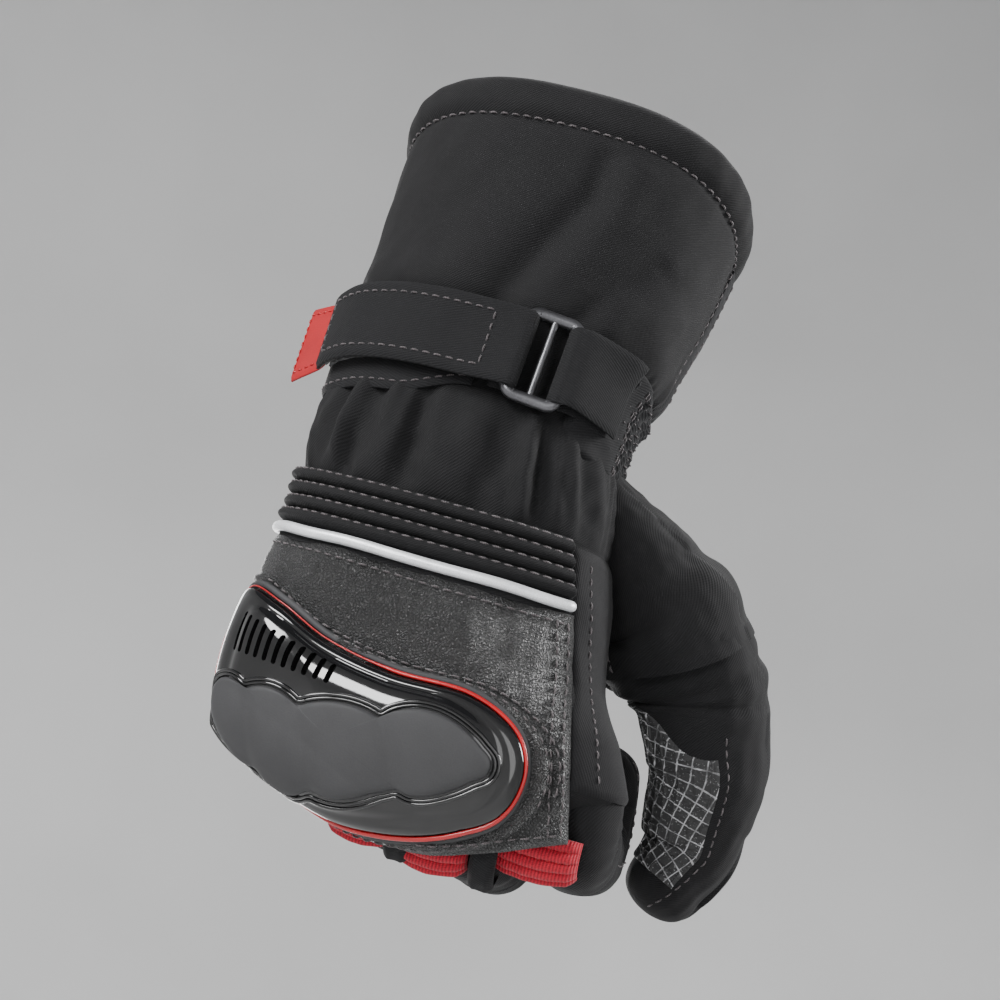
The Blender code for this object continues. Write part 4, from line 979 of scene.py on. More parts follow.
def build_ribs():
    pitch = (RIBS_END - RIBS_START) / RIB_COUNT
    angles = np.radians(np.linspace(37.5, 176, 290))

    def rib_off(angle, along):
        phase = (along - RIBS_START) / pitch
        puff = np.abs(np.sin(np.pi * phase)) ** 0.6
        uneven = 1.0 + 0.12 * ripple(angle * 38, np.floor(np.clip(phase, 0, 3.99)) * 50.0, 26.0, 71)
        ends = np.minimum(np.degrees(angle) - 37.5, 176.0 - np.degrees(angle)) / 2.5
        ends = np.sqrt(np.clip(ends, 0.03, 1.0))
        tuck = 0.22 * ripple(angle * 38, along, 4.2, 72) * (1 - puff)
        return 0.9 + ends * (0.9 + 2.5 * puff * uneven) + tuck
    ribs = skin("accordion_ribs", hand_point, angles,
                np.linspace(RIBS_START - 0.1, RIBS_END + 0.1, 75), rib_off, 0.8,
                MATS["softshell"], "softshell")
    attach(ribs, "hand")
    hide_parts("accordion_panel")
    a = np.radians(np.linspace(39, 174, 220))
    rows = [seam_on(hand_point, rib_off, a, RIBS_START + pitch * number + 0.55, 0.1)
            for number in range(RIB_COUNT)]
    sewn = stitches("accordion_stitching", rows, MATS["thread"], 2.3, 1.1, 0.3)
    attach(sewn, "hand")

    a = np.radians(np.linspace(38, 176, 130))
    path = hand_point(a, PIPING_ALONG + 0.15 * np.sin(a * 9),
                      PIPING_RADIUS - 0.6 + 2.2 * ease(np.degrees(a), 37.0, 41.0))
    piping = tube_along("piping_silver", path, 1.55, MATS["reflective"], 16,
                        flat=0.95)
    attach(piping, "hand")
    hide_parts("reflective_piping")
    flange = skin("piping_flange", hand_point, a, np.linspace(25.4, 30.6, 12), lambda u, v: 1.9 + 0 * u, 0.7,
                  MATS["webbing"], "softshell")
    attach(flange, "hand")


# ---- leather back ------------------------------------------------------------------
def leather_across_along(u, v):
    """u runs 0 at the little finger edge to 1 at the thumb side seam, v to the knuckles."""
    left = smooth_value(HAND_SECTIONS, LEATHER_START + v * 54.0, 1) - 0.2
    across = left + (seam_across(LEATHER_START + v * 54.0) - left) * u
    roll = np.radians(smooth_value(LEATHER_ROLL, across))
    end = smooth_value(KNUCKLE_LINE, across) + KNUCKLE_RADIUS * roll
    return across, LEATHER_START + (end - LEATHER_START) * v


def leather_place(u, v, off):
    return back_point(*leather_across_along(u, v), off)


def guard_edge(turn):
    """Catmull-Rom outline of the guard: across and along for turns of 0 to 1."""
    outline = np.array(GUARD_OUTLINE)
    count = len(outline)
    position = (np.asarray(turn, float) % 1.0) * count
    i = position.astype(int) % count
    t = (position - np.floor(position))[..., None]
    return catmull_rom(*(outline[(i + k - 1) % count] for k in range(4)), t)


def guard_spot(share, turn):
    """Across and along of places on the guard, by share of the way out to its edge."""
    centre = np.array(GUARD_CENTRE)
    return centre + np.asarray(share)[..., None] * (guard_edge(turn) - centre)


def on_back(spot, off):
    return back_point(spot[..., 0], spot[..., 1], off)


def guard_share(across, along):
    """How far out places lie inside the guard, 0 at its centre and 1 at its edge."""
    turns = np.linspace(0, 1, 721)[:-1]
    edge = guard_edge(turns) - np.array(GUARD_CENTRE)
    heading = np.arctan2(edge[:, 1], edge[:, 0])
    order = np.argsort(heading)
    reach = np.hypot(edge[:, 0], edge[:, 1])[order]
    x, y = across - GUARD_CENTRE[0], along - GUARD_CENTRE[1]
    full = np.interp(np.arctan2(y, x), heading[order], reach, period=TURN)
    return np.hypot(x, y) / full


def leather_off(u, v):
    across, along = leather_across_along(u, v)
    share = guard_share(across, along)
    sides, ends = np.minimum(u * 60.0, (1 - u) * 70.0), np.minimum(v * 60.0, (1 - v) * 60.0)
    off = 1.0 + 1.5 * rounded(sides / 2.0, ends / 2.0)
    off = off + 0.55 * ripple(across, along, 26.0, 81) + 0.22 * ripple(across, along, 9.0, 82)
    welt = np.exp(-((share - 1.12) / 0.06) ** 2) - 0.8 * np.exp(-((share - 1.2) / 0.03) ** 2)
    return off + 0.7 * welt * (share > 1.0) - 0.4 * (share < 0.98)


def build_leather():
    def fine_ends(margin, few, many):
        """0 to 1 with closer steps within a margin of both ends."""
        return np.concatenate([np.linspace(0, margin, few)[:-1],
                               np.linspace(margin, 1 - margin, many),
                               np.linspace(1 - margin, 1, few)[1:]])
    us, vs = fine_ends(0.03, 10, 190), fine_ends(0.04, 8, 170)
    panel = skin("leather_back", leather_place, us, vs, leather_off, 1.0, MATS["leather"], "leather")
    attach(panel, "hand")
    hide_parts("leather_back_panel")

    def guard_ring(share, first, last):
        turns = np.linspace(first, last, 260)
        spot = guard_spot(share, turns)
        lift = 2.75 + 0.55 * ripple(spot[:, 0], spot[:, 1], 26.0, 81)
        path = on_back(spot, lift)
        keep = spot[:, 0] > -39.0
        return path[keep], unit(on_back(spot, lift + 1.0) - path)[keep]
    rows = [guard_ring(1.16, 0.02, 0.46), guard_ring(1.225, 0.02, 0.44), guard_ring(1.16, 0.53, 0.8)]
    v = np.linspace(0.03, 0.97, 160)
    rows += [seam_on(leather_place, leather_off, u, v, 0.08) for u in (0.975, 0.945)]
    u = np.linspace(0.03, 0.97, 200)
    rows += [seam_on(leather_place, leather_off, u, level, 0.08) for level in (0.045, 0.952)]
    sewn = stitches("leather_stitching", rows, MATS["thread"], 2.3, 1.0, 0.28)
    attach(sewn, "hand")


# ---- knuckle guard -----------------------------------------------------------------
def guard_height(share):
    return GUARD_FOOT + GUARD_WALL + GUARD_RISE * np.clip(1.0 - share**2.6, 0.0, None) ** 0.75


def guard_shell_place(share, turn):
    step = 0.7 * np.exp(-((share - 0.86) / 0.045) ** 2)
    return on_back(guard_spot(share, turn), guard_height(share) - step)


def closed_cap(name, outer, inner, mat):
    """Solid between two cap grids whose first row is nearly a point."""
    rows, cols = outer.shape[:2]
    points = np.concatenate([outer.reshape(-1, 3), inner.reshape(-1, 3)])
    half = rows * cols
    faces = []
    for r in range(rows - 1):
        for c in range(cols):
            d = (c + 1) % cols
            quad = (r * cols + c, r * cols + d, (r + 1) * cols + d, (r + 1) * cols + c)
            faces.append(quad)
            faces.append(tuple(half + k for k in reversed(quad)))
    edge = (rows - 1) * cols
    for c in range(cols):
        d = (c + 1) % cols
        faces.append((edge + c, edge + d, half + edge + d, half + edge + c))
    faces.append(tuple(range(cols)))
    faces.append(tuple(half + c for c in range(cols)))
    return make_object(name, points, faces, mat, sharp=40.0)


VENTS, VENT_HALF_WIDTH = 11, 0.72
# across, along and length of the first vent, and the step from each to the next
VENT_FIRST, VENT_STEP = (-37.0, 57.6, 10.8), (2.65, 0.42, -0.56)


def vent_cutter(number):
    """Long slot with round ends through the guard, square to its surface."""
    across, along, length = (first + step * number for first, step in zip(VENT_FIRST, VENT_STEP))
    ends = [back_point(across, along + k * length / 2, 6.0) for k in (-1.0, 1.0)]
    out = back_point(across, along, 12.0) - back_point(across, along, 2.0)
    up = unit(ends[0] - ends[1])
    out = unit(out - up * (out @ up))
    side = np.cross(out, up)
    centre = back_point(across, along, 7.0)
    width = VENT_HALF_WIDTH
    ring = []
    for begin, middle in ((0, length / 2 - width), (180, -length / 2 + width)):
        for t in np.radians(np.linspace(begin, begin + 180, 7)):
            ring.append(side * (width * math.cos(t)) + up * (middle + width * math.sin(t)))
    return [[centre + out * depth + p for p in ring] for depth in (-6.0, 6.0)]


def cut_slots(guard):
    """Take the vents out of the guard and keep the result as plain mesh."""
    points, faces = [], []
    for number in range(VENTS):
        low, high = vent_cutter(number)
        base, count = len(points), len(low)
        points += low + high
        faces += [tuple(base + c for c in range(count)),
                  tuple(base + count + c for c in reversed(range(count)))]
        faces += [(base + c, base + count + c, base + count + (c + 1) % count, base + (c + 1) % count)
                  for c in range(count)]
    cutter = make_object("vent_cutter", points, faces, MATS["gloss_black"])
    modifier = guard.modifiers.new("vents", "BOOLEAN")
    modifier.operation, modifier.solver, modifier.object = "DIFFERENCE", "EXACT", cutter
    graph = bpy.context.evaluated_depsgraph_get()
    guard.data = bpy.data.meshes.new_from_object(guard.evaluated_get(graph))
    guard.modifiers.clear()
    bpy.data.objects.remove(cutter)
    guard.data.set_sharp_from_angle(angle=math.radians(32))
    weigh = guard.modifiers.new("even_shading", "WEIGHTED_NORMAL")
    weigh.keep_sharp = True
    weigh.weight = 90


# lobed insert: notches between the lobes, across and along, upper then lower edge
INSERT_TOP = [(-40.8, 72.6), (-29.4, 71.9), (-14.8, 72.2), (4.3, 69.4), (28.2, 69.8)]
INSERT_FOOT = [(-40.8, 78.0), (-23.5, 87.0), (-8.0, 88.6), (12.1, 85.0), (28.2, 77.2)]
INSERT_BULGE = [(2.2, 3.0), (2.6, 3.2), (2.8, 2.9), (6.0, 3.2)]
INSERT_CENTRE = (-5.0, 77.5)


def insert_outline(count=240):
    """Outline through four lobes: round bulges on both edges, closed by a round end."""
    top, foot = [], []
    for k in range(4):
        t = np.linspace(0, 1, 22)[:-1]
        for row, notches, sign in ((top, INSERT_TOP, -1.0), (foot, INSERT_FOOT, 1.0)):
            (x0, y0), (x1, y1) = notches[k], notches[k + 1]
            bulge = INSERT_BULGE[k][0 if sign < 0 else 1]
            lobe = np.sin(np.pi * (t if k < 3 else t**0.8)) ** 0.8
            row += list(zip(x0 + (x1 - x0) * t, y0 + (y1 - y0) * t + sign * bulge * lobe))
    (x0, y0), (_, y1) = INSERT_TOP[-1], INSERT_FOOT[-1]
    t = np.linspace(-90, 90, 14)
    end = [(x0 + 2.6 * math.cos(math.radians(a)),
            (y0 + y1) / 2 + (y1 - y0) / 2 * math.sin(math.radians(a))) for a in t]
    outline = np.array(top + end + foot[::-1])
    padded = np.concatenate([outline, np.zeros((len(outline), 1))], 1)
    closed = np.concatenate([padded, padded[:1]])
    total, at = walk(closed)
    even = at(np.linspace(0, total, count + 1)[:-1])[:, :2]
    return sum(np.roll(even, k, 0) for k in range(-2, 3)) / 5


def build_guard():
    turns = np.linspace(0, 1, 221)[:-1]
    shares = np.concatenate([[0.004], np.linspace(0.04, 0.93, 44), np.linspace(0.94, 1.0, 9)])
    turn, share = np.meshgrid(turns, shares)
    outer = guard_shell_place(share, turn)
    inner = on_back(guard_spot(share, turn), guard_height(share) - GUARD_WALL - 0.3)
    guard = closed_cap("guard_shell", outer, inner, MATS["gloss_black"])
    cut_slots(guard)
    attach(guard, "hand")
    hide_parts("knuckle_guard")

    share = np.minimum(share, 0.93) * 0.97
    spot = guard_spot(share, turn)
    top = on_back(spot, guard_height(share) - GUARD_WALL - 1.0
                  + 0.15 * ripple(spot[..., 0], spot[..., 1], 3.0, 91))
    low = on_back(spot, GUARD_FOOT - 0.2)
    backing = closed_cap("guard_backing", top[:-6], low[:-6], MATS["mesh"])
    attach(backing, "hand")
    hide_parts("guard_foam")

    turns = np.linspace(0, 1, 301)[:-1]
    level = GUARD_FOOT + 0.8
    spot = guard_edge(turns)
    ahead = guard_edge(turns + 0.004) - guard_edge(turns - 0.004)
    side = unit(np.stack([ahead[:, 1], -ahead[:, 0]], -1))
    outward = np.sign(np.sum(side * (spot - np.array(GUARD_CENTRE)), -1, keepdims=True))
    spot = spot + side * outward * 0.9
    path = on_back(spot, level)
    shown = 1.0 - 0.6 * ease(62.0 - spot[:, 1], 0.0, 8.0) * ease(4.0 - spot[:, 0], 0.0, 10.0)
    shown = shown + 0.3 * ease(spot[:, 1], 80.0, 90.0)
    rim = tube_along("guard_rim_red", path, 0.55 * shown, MATS["red_rubber"], 14,
                     closed=True, sharp=0)
    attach(rim, "hand")
    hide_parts("guard_rim")
    spot = spot + side * outward * 0.9
    path = on_back(spot, level - 1.3)
    gasket = tube_along("guard_gasket", path, 1.0, MATS["matte_grey"], 14,
                        closed=True, sharp=0)
    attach(gasket, "hand")

    outline = insert_outline()
    centre = np.array(INSERT_CENTRE)

    valleys = [[INSERT_TOP[k], INSERT_FOOT[k]] for k in (1, 2, 3)]

    def top_level(spot):
        return guard_height(guard_share(spot[:, 0], spot[:, 1]))

    def insert_grid(shares, lift):
        rows = []
        for share in shares:
            spot = centre + (outline - centre) * share
            dip = sum(crease(spot[:, 0], spot[:, 1], line, 2.6) for line in valleys)
            rows.append(on_back(spot, top_level(spot) + lift(share, dip)))
        return np.array(rows)

    def crown(share, dip):
        """Height of the insert over the guard: domed, with a valley between its lobes."""
        return -0.9 + (2.3 - 0.75 * dip + 0.5 * (1 - share * share)) * max(0.0, 1.0 - share**24) ** 0.5
    shares = np.concatenate([[0.01], np.linspace(0.06, 0.9, 30), np.linspace(0.92, 1.0, 12)])
    top = insert_grid(shares, crown)
    low = insert_grid(shares, lambda share, dip: -1.0)
    insert = closed_cap("guard_insert", top, low, MATS["matte_grey"])
    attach(insert, "hand")
    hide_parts("knuckle_insert")
    ahead = np.roll(outline, -3, 0) - np.roll(outline, 3, 0)
    side = unit(np.stack([ahead[:, 1], -ahead[:, 0]], -1))
    side = side * np.sign(np.sum(side * (outline - centre), -1).mean())
    for name, apart, radius, lift in (("insert_gasket", 0.75, 0.5, 0.0),
                                      ("insert_lip", 1.7, 0.55, 0.05)):
        spot = outline + side * apart
        spot[:, 0] = np.maximum(spot[:, 0], -41.2 + radius)
        path = on_back(spot, top_level(spot) + lift)
        lip = tube_along(name, path, radius, MATS["gloss_black"], 12, closed=True,
                         sharp=0)
        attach(lip, "hand")


# ---- fingers -----------------------------------------------------------------------
PALMWARD = np.array([0.0, 1.0, 0.0])
UPWARD = np.array([0.0, 0.0, 1.0])
HAND_ALONG = hand_to_world(0.0, 1.0, 0.0) - hand_to_world(0.0, 0.0, 0.0)
HAND_OUT = hand_to_world(0.0, 0.0, 1.0) - hand_to_world(0.0, 0.0, 0.0)


class Stall:
    """Finger-shaped cloth: a path with radii, and a map (turn, share, off) to points.

    A turn of 0 faces the thumb side and a quarter turn faces out of the hand's back.
    """

    SQUARENESS = 2.3

    def __init__(self, stations, count, level, cap=0.0, flat=1.0, web=None):
        places = np.array([s[0] for s in stations], float)
        curve = spline(places, count)
        marks = np.concatenate([[0.0], np.cumsum(np.linalg.norm(np.diff(places, axis=0), axis=1))])
        s = np.linspace(0.0, 1.0, count)
        radii = np.interp(s, marks / marks[-1], [s[1] for s in stations])
        kernel = np.ones(9) / 9
        radii = np.convolve(np.pad(radii, 4, mode="edge"), kernel, mode="valid")
        if cap:
            ahead = unit(curve[-1] - curve[-2])
            t = np.linspace(0.0, 1.0, 26)[1:]
            reach = radii[-1] * cap * np.sin(t * math.pi / 2)
            curve = np.concatenate([curve, curve[-1] + ahead * reach[:, None]])
            dome = np.sqrt(np.clip(1 - np.sin(t * math.pi / 2) ** 2.4, 1e-5, 1))
            radii = np.concatenate([radii, radii[-1] * dome])
        self.curve, self.radii = curve, radii
        ahead = unit(np.gradient(curve, axis=0))
        ahead[-3:] = ahead[-4]
        side = np.asarray(level, float)
        side = unit(side - ahead * (ahead @ side)[:, None])
        self.side, self.lift = side, unit(np.cross(side, ahead))
        if (self.lift[0] @ HAND_OUT) < 0:
            self.lift = -self.lift
        self.flat, self.web = flat, web

    def place(self, turn, share, off):
        index = np.clip(share, 0.0, 1.0) * (len(self.curve) - 1)
        rows = np.arange(len(self.curve))

        def read(values):
            return np.stack([np.interp(index, rows, values[:, k]) for k in range(3)], -1)
        radius = np.interp(index, rows, self.radii)
        fade = np.clip(radius / self.radii.max() * 1.6, 0.0, 1.0)
        power = 2.0 / self.SQUARENESS
        x = signed_power(np.cos(turn), power) * (radius + off * fade)
        y = signed_power(np.sin(turn), power) * (radius * self.flat + off * fade)
        if self.web:
            inside = np.clip(-np.cos(turn), 0.0, 1.0)
            behind = inside * np.clip(-np.sin(turn), 0.0, 1.0)
            flap = 26.0 * behind * ease(self.web(share + 0.24 * behind), 0.0, 9.0)
            x = x - self.web(share) * inside - flap
            y = y * (1.0 - 0.35 * inside * np.clip(self.web(share) / 10.0, 0.0, 1.0))
        return read(self.curve) + read(self.side) * x[..., None] + read(self.lift) * y[..., None]


def finger_off(seed, bend_share, width=0.14):
    """Folds across the finger where it bends, over a soft uneven cloth."""
    def off(turn, share):
        near = np.exp(-((share - bend_share) / width) ** 2)
        inner = 0.5 - 0.5 * np.sin(turn)
        folds = np.sin(share * TURN * 7.0 + 1.2 * ripple(turn * 11, share * 50, 30.0, seed))
        seam = np.exp(-((np.abs(np.cos(turn)) - 1.0) / 0.02) ** 2)
        return (0.05 + 0.3 * ripple(turn * 11, share * 60, 17.0, seed + 1) + near * inner * 0.8 * folds
                - 0.25 * seam)
    return off


def build_finger(name, seed):
    _, radius, _, first, second = FINGERS[name]
    base, joint = knuckle_place(name), middle_place(name)
    root = base - HAND_ALONG * 15.0 + HAND_OUT * 0.5
    half = base + PALMWARD * (first * 0.52) + UPWARD * 2.0
    raised = joint + UPWARD * 5.0
    stations = [(root, radius - 1.2), (base - HAND_ALONG * 6.0, radius),
                (base + PALMWARD * 6.0, radius + 0.2), (half, radius),
                (half + PALMWARD * 2.0, radius)]
    shape = Stall(stations, 70, (1.0, 0.0, 0.0))
    turns = np.linspace(0, TURN, 97)[:-1]
    off = finger_off(seed, 0.5)
    piece = skin(f"{name}_base_fabric", shape.place, turns, np.linspace(0, 1, 70), off, 0.8,
                 MATS["softshell"], "softshell", ring=True)
    mean = unit(HAND_ALONG + PALMWARD)
    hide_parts(f"{name}_finger_base")
    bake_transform(piece)

    lean = np.array([-0.06, 0.0, 0.0])
    top = joint + (UPWARD + lean) * second
    tip = top + (UPWARD - PALMWARD * 0.6 + lean) * 5.5
    stations = [(half - PALMWARD * 2.0, radius - 0.7), (half + PALMWARD * 3.0, radius - 0.3),
                (raised - PALMWARD * 5.5, radius), (joint + (UPWARD + lean) * 9.0, radius),
                (top, radius - 0.6), (tip, radius - 1.2)]
    shape = Stall(stations, 90, (1.0, 0.0, 0.0), cap=1.0)
    off = finger_off(seed + 5, 0.28, 0.1)
    piece = skin(f"{name}_tip_fabric", shape.place, turns, np.linspace(0, 1, 105), off, 0.8,
                 MATS["softshell"], "softshell", ring=True)
    mean = unit(UPWARD + PALMWARD)
    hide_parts(f"{name}_finger_tip")
    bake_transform(piece)

    share = np.linspace(0.04, 0.9, 120)
    rows = [seam_on(shape.place, off, turn, share, 0.1) for turn in (0.0, math.pi)]
    sewn = stitches(f"{name}_tip_stitching", rows, MATS["thread"], 2.1, 1.0, 0.22)
    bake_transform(sewn)

    def grip_off(turn, share):
        edge = (0.62 - np.abs(turn - 1.5 * math.pi)) * radius
        ends = np.minimum(share - 0.5, 0.93 - share) * 60.0
        solid = rounded(edge / 0.8, ends / 0.8)
        lines = np.maximum(np.cos(turn * radius * TURN / 3.4),
                           np.cos(share * 62 * TURN / 3.4)) > 0.72
        return off(turn, share) + solid * (0.45 + 0.3 * lines)
    grip = skin(f"{name}_grip_print", shape.place,
                np.linspace(1.5 * math.pi - 0.62, 1.5 * math.pi + 0.62, 60),
                np.linspace(0.5, 0.93, 100), grip_off, 0.6, MATS["silicone"], "silicone")
    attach(grip, f"{name}_tip")
    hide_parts(f"{name}_grip_patch")


# name: (moved across from the knuckle, half width, ribs)
RED_PANELS = {"index": (-8.5, 12.6, 6), "middle": (-10.5, 10.2, 6), "ring": (-7.0, 9.5, 6),
              "little": (-3.0, 9.5, 6)}


def ribbed_panel(name, seed):
    """Puffed red stretch ribs round the front of one knuckle."""
    aside, half, ribs = RED_PANELS[name]
    radius = FINGERS[name][1]
    centre = knuckle_place(name) + np.array([aside, 0.0, 0.0])

    def place(x, angle, off):
        reach = radius + off - 3.2 * ease(angle, math.radians(82), math.radians(108))
        bow = 1.0 - 0.16 * (x / half) ** 2
        return pile(centre[0] + x, centre[1] - reach * bow * np.cos(angle),
                    centre[2] - reach * bow * np.sin(angle))

    def off(x, angle):
        share = (angle - math.radians(18)) / math.radians(90)
        puff = np.abs(np.sin(np.pi * ribs * share)) ** 0.55
        edge = rounded((half - np.abs(x)) / 2.2)
        return 1.4 + edge * (0.9 + 1.5 * puff + 0.12 * ripple(x, angle * 14, 6.0, seed))
    panel = skin(f"{name}_red_ribs", place, np.linspace(-half, half, 80),
                 np.radians(np.linspace(18, 108, 130)), off, 0.8, MATS["red_knit"], "red_knit")
    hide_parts(f"{name}_stretch_panel")
    start, end = (place(0.0, math.radians(a), 0.0) * MM for a in (24.0, 104.0))
    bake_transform(panel)
    x = np.linspace(-half * 0.88, half * 0.88, 40)
    rows = [seam_on(place, off, x, math.radians(18 + 90 * rib / ribs), 0.05)
            for rib in range(1, ribs)]
    sewn = stitches(f"{name}_red_stitching", rows, MATS["red_rubber"], 1.6, 0.8, 0.2)
    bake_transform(sewn)


def build_fourchettes():
    names = list(FINGERS)
    for number, (one, two) in enumerate(zip(names, names[1:])):
        across = (FINGERS[one][0] + FINGERS[two][0]) / 2 - 7.5
        height = (FINGERS[one][2] + FINGERS[two][2]) / 2
        centre = hand_to_world(across, smooth_value(KNUCKLE_LINE, across), height)

        def place(x, angle, off):
            reach = 14.2 + off - 5.0 * ease(angle, math.radians(80), math.radians(106))
            return pile(centre[0] + x, centre[1] - reach * np.cos(angle),
                        centre[2] - reach * np.sin(angle))

        def off(x, angle):
            return rounded((3.4 - np.abs(x)) / 1.6) * 1.9 + 0.15 * ripple(x, angle * 14, 5.0, 120 + number)
        strip = skin(f"fourchette_strip_{number + 1}", place, np.linspace(-3.4, 3.4, 30),
                     np.radians(np.linspace(20, 106, 70)), off, 1.2, MATS["webbing"], "leather")
        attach(strip, "hand")
        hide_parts(f"fourchette_{one}_{two}")


# ---- thumb -------------------------------------------------------------------------
def build_thumb():
    root, bend, pad, end = (hand_to_world(*spec[:3]) for spec in THUMB)
    across_thumb = HAND_OUT * 0.12 + np.array([1.0, 0.0, 0.0])
    first = unit(bend - root)
    stations = [(hand_to_world(28.0, -8.0, -3.0), 7.5), (hand_to_world(38.0, 0.5, -8.0), 11.0),
                (hand_to_world(50.0, 10.0, -13.0), 14.0), (root, 15.6),
                (root + first * 10.0, 16.8), (root + first * 14.0, 16.8)]
    lower = Stall(stations, 80, across_thumb, web=lambda s: 13.0 * ease(s, 0.25, 0.6))
    turns = np.linspace(0, TURN, 161)[:-1]

    def lower_off(turn, share):
        s, along = turn * 15, share * 55
        folds = 0.7 * np.sin(share * 24 + 2.0 * np.cos(turn)) * np.exp(-((share - 0.75) / 0.2) ** 2)
        return 0.3 + 0.5 * ripple(s, along, 26.0, 131) + folds + 0.15 * ripple(s, along, 8.0, 132)
    piece = skin("thumb_root_fabric", lower.place, turns, np.linspace(0, 1, 90), lower_off, 0.9,
                 MATS["softshell"], "softshell", ring=True)
    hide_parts("thumb_base")
    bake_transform(piece)

    share = np.linspace(0.3, 0.97, 100)
    rows = [seam_on(lower.place, lower_off, turn, share, 0.08) for turn in (2.25, 2.42)]
    sewn = stitches("thumb_root_stitching", rows, MATS["thread"], 2.2, 1.0, 0.26)
    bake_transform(sewn)

    tip = hand_to_world(77.0, 90.0, -36.0)
    stations = [(root + first * 8.0, 16.0), (root + first * 12.0, 16.6), (bend, 16.6),
                (bend + (pad - bend) * 0.55, 16.3), (pad, 15.6), (pad + (end - pad) * 0.6, 14.2),
                (end, 12.6), (tip, 11.0)]
    upper = Stall(stations, 110, across_thumb, cap=0.95, flat=0.92,
                  web=lambda s: 13.0 * (1.0 - ease(s, 0.0, 0.36)))

    def upper_off(turn, share):
        s, along = turn * 15, share * 80
        bend_folds = np.exp(-((share - 0.17) / 0.07) ** 2)
        crease_line = np.exp(-((share - 0.2 - 0.03 * np.cos(turn)) / 0.018) ** 2)
        crease_line = crease_line * ease(np.sin(turn), -0.6, 0.3)
        return (0.3 + 0.55 * ripple(s, along, 30.0, 141) + 0.15 * ripple(s, along, 9.0, 142)
                + bend_folds * 0.6 * np.sin(share * 70 + 1.5 * np.cos(turn)) - 1.5 * crease_line)
    piece = skin("thumb_fabric", upper.place, turns, np.linspace(0, 1, 150), upper_off, 0.9,
                 MATS["softshell"], "softshell", ring=True)
    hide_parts("thumb_tip")
    second = unit(pad - bend)
    heading = unit(first + second)
    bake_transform(piece)

    share = np.linspace(0.3, 0.93, 130)
    rows = [seam_on(upper.place, upper_off, turns, share, 0.08)
            for turns in (1.05 + 0.4 * ease(share, 0.75, 1.0), 3.7)]
    sewn = stitches("thumb_stitching", rows, MATS["thread"], 2.2, 1.0, 0.24)
    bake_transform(sewn)

    def grip_ground(turn, share):
        edge = np.minimum(turn - 1.2, 3.6 - turn) * 15.0
        ends = np.minimum(share - 0.17 - 0.2 * ease(2.9 - turn, 0.0, 1.6), 0.82 - share) * 85.0
        return rounded(edge, ends)

    def grip_off(turn, share):
        u = turn * 15.0 + 0.5 * ripple(turn * 15, share * 85, 12.0, 151)
        v = share * 85.0 + 0.5 * ripple(turn * 15, share * 85, 12.0, 152)
        near = np.minimum(np.abs((u / 3.6) % 1.0 - 0.5), np.abs((v / 3.6) % 1.0 - 0.5)) * 3.6
        line = np.maximum(1 - ease(near, 0.16, 0.34), crackle(u, v) * 0.8)
        ground = grip_ground(turn, share)
        return upper_off(turn, share) - 0.5 * (ground < 0.15) + ground * (0.5 + 0.42 * line)

    def crackle(u, v):
        rng = np.random.default_rng(161)
        total = np.zeros(u.shape)
        for _ in range(26):
            u0, v0 = rng.uniform(28, 57), rng.uniform(20, 70)
            turn, reach = rng.uniform(0, TURN), rng.uniform(2, 6)
            du, dv = math.cos(turn) * reach, math.sin(turn) * reach
            t = np.clip(((u - u0) * du + (v - v0) * dv) / (reach * reach), 0, 1)
            apart = np.hypot(u - u0 - t * du, v - v0 - t * dv)
            total = np.maximum(total, 1 - ease(apart, 0.15, 0.32))
        return total
    ground = skin("thumb_grip_ground", upper.place, np.linspace(1.2, 3.6, 180),
                  np.linspace(0.17, 0.82, 210), grip_off, 0.7, MATS["silicone_print"], "silicone")
    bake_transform(ground)
    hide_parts("thumb_grip_patch")


# ---- palm --------------------------------------------------------------------------
def build_palm():
    def palm_off(angle, share):
        edge = np.minimum(np.degrees(angle) - 196.0, 322.0 - np.degrees(angle)) / 3.0
        ends = np.minimum(share - 0.18, 0.93 - share) * 40.0
        return hand_skin_off(angle, share) + 0.2 + 0.9 * rounded(edge, ends)
    angles = np.radians(np.linspace(196, 322, 150))
    palm = skin("palm_leather", hand_share_point, angles, np.linspace(0.18, 0.93, 90), palm_off, 0.7,
                MATS["palm_leather"], "leather")
    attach(palm, "hand")
    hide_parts("palm_patch")

    def heel_off(angle, share):
        x, y = (np.degrees(angle) - 230.0) / 27.0, (share - 0.42) / 0.2
        dome = np.clip(1.0 - np.abs(x) ** 2.6 - np.abs(y) ** 2.6, 0.0, None) ** 0.4
        return palm_off(angle, share) + 0.1 + 2.4 * dome
    heel = skin("heel_pad_leather", hand_share_point, np.radians(np.linspace(204, 256, 70)),
                np.linspace(0.23, 0.61, 50), heel_off, 0.7, MATS["palm_leather"], "leather")
    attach(heel, "hand")
    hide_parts("heel_pad")
    share = np.linspace(0.2, 0.91, 80)
    rows = [seam_on(hand_share_point, palm_off, np.radians(degrees), share, 0.05)
            for degrees in (198.5, 319.5)]
    a = np.radians(np.linspace(200, 318, 120))
    rows += [seam_on(hand_share_point, palm_off, a, level, 0.05) for level in (0.2, 0.9)]
    sewn = stitches("palm_stitching", rows, MATS["thread"], 2.3, 1.0, 0.26)
    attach(sewn, "hand")


# ---- what stays from the frame -----------------------------------------------------
def dress_frame():
    for node, mat in (("hand_lining", "lining"), ("loop_patch", "loop_pile"), ("hook_patch", "hook_pile")):
        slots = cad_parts[node].data.materials
        slots.clear()
        slots.append(MATS[mat])


# ---- camera, light and floor -------------------------------------------------------
def aim(obj, spot, target):
    obj.location = Vector(spot)
    obj.rotation_euler = (Vector(target) - Vector(spot)).to_track_quat("-Z", "Y").to_euler()


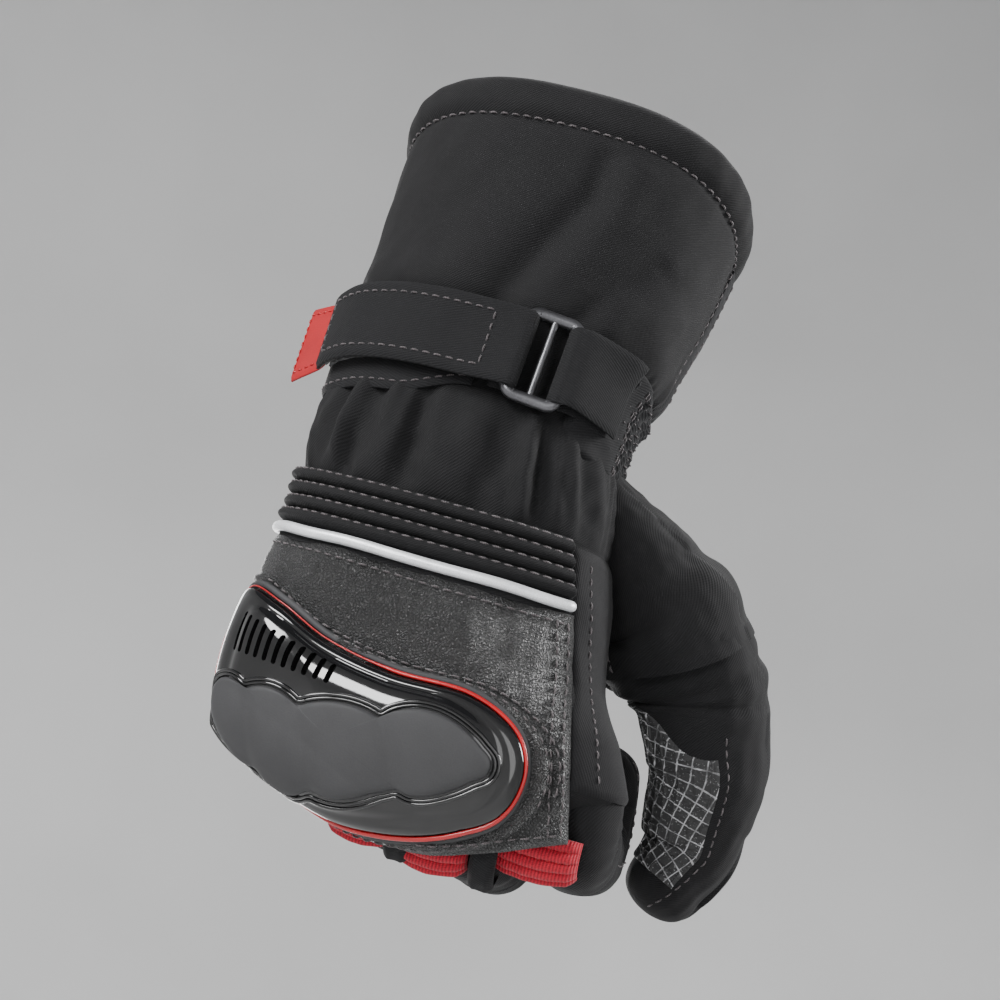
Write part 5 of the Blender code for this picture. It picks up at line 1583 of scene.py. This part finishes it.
def area_light(name, spot, target, size, power):
    light = bpy.data.lights.new(name, "AREA")
    light.shape, light.size, light.energy = "DISK", size, power
    aim(add_object(name, light), spot, target)


CAMERA_AZIMUTH, CAMERA_ELEVATION, CAMERA_ROLL = math.radians(12), math.radians(-22), math.radians(20)
CAMERA_PLACE = Vector((0.13713997, -0.60525852, -0.34874061))
CAMERA_LENS = 88.42
FLOOR_LEVEL, FLOOR_RADIUS, BOWL_CORNER, WALL_TOP = -0.62, 0.9, 0.7, 1.6
WORLD_TINT, WORLD_STRENGTH = (0.9, 0.93, 1.0, 1.0), 0.12
LIGHT_TARGET = (0.02, 0.0, -0.1)
# name: (place, disk size in metres, watts)
LIGHTS = {"key_light": ((-0.75, -0.75, 0.35), 0.5, 20.0),
          "rim_light": ((0.85, 0.15, 0.35), 0.4, 18.0),
          "fill_light": ((0.55, -0.95, -0.3), 0.6, 3.0),
          "top_light": ((0.0, 0.35, 0.9), 0.7, 12.0),
          "low_light": ((-0.28, -0.95, 0.02), 0.28, 7.0),
          "back_light": ((-0.3, 0.95, 0.1), 0.8, 12.0)}


def build_stage():
    data = bpy.data.cameras.new("camera")
    data.lens, data.sensor_width = CAMERA_LENS, 36.0
    camera = add_object("camera", data)
    az, el, roll = CAMERA_AZIMUTH, CAMERA_ELEVATION, CAMERA_ROLL
    back = Vector((math.sin(az) * math.cos(el), -math.cos(az) * math.cos(el), math.sin(el)))
    right = Vector((math.cos(az), math.sin(az), 0.0))
    up = back.cross(right)
    x = right * math.cos(roll) + up * math.sin(roll)
    y = -right * math.sin(roll) + up * math.cos(roll)
    camera.matrix_world = Matrix.Translation(CAMERA_PLACE) @ Matrix((x, y, back)).transposed().to_4x4()
    bpy.context.scene.camera = camera

    profile = [(FLOOR_RADIUS + BOWL_CORNER * math.sin(t), FLOOR_LEVEL + BOWL_CORNER * (1 - math.cos(t)))
               for t in np.linspace(0, math.pi / 2, 16)]
    profile.append((FLOOR_RADIUS + BOWL_CORNER, WALL_TOP))
    points, faces, sides = [], [], 72
    for radius, height in profile:
        points += [(radius / MM * math.cos(t), radius / MM * math.sin(t), height / MM)
                   for t in np.arange(sides) * TURN / sides]
    for low in range(0, (len(profile) - 1) * sides, sides):
        high = low + sides
        faces += [(low + c, high + c, high + (c + 1) % sides, low + (c + 1) % sides)
                  for c in range(sides)]
    faces.append(tuple(range(sides)))
    paper = Recipe("paper", specular_ior_level=0.2)
    paper.colour(paper.noise(3.0, 3.0), [(0.3, (0.5, 0.5, 0.5)), (0.7, (0.56, 0.56, 0.56))])
    paper.roughness(paper.noise(8.0), 0.8, 0.95)
    mat = paper.bumps((paper.noise(900.0), 0.05, 0.0002))
    mesh = bpy.data.meshes.new("studio_bowl")
    mesh.from_pydata([tuple(c * MM for c in p) for p in points], [], faces)
    mesh.materials.append(mat)
    mesh.shade_smooth()
    bowl = add_object("studio_bowl", mesh)

    world = bpy.data.worlds.new("studio")
    world.use_nodes = True
    world.node_tree.nodes["Background"].inputs["Color"].default_value = WORLD_TINT
    world.node_tree.nodes["Background"].inputs["Strength"].default_value = WORLD_STRENGTH
    bpy.context.scene.world = world
    for name, (spot, size, power) in LIGHTS.items():
        area_light(name, spot, LIGHT_TARGET, size, power)


def main():
    build_stage()
    build_gauntlet()
    build_strap()
    build_wrist()
    build_hand_skin()
    build_ribs()
    build_leather()
    build_guard()
    for number, name in enumerate(FINGERS):
        build_finger(name, 200 + 20 * number)
        ribbed_panel(name, 300 + number)
    build_fourchettes()
    build_thumb()
    build_palm()
    dress_frame()


main()
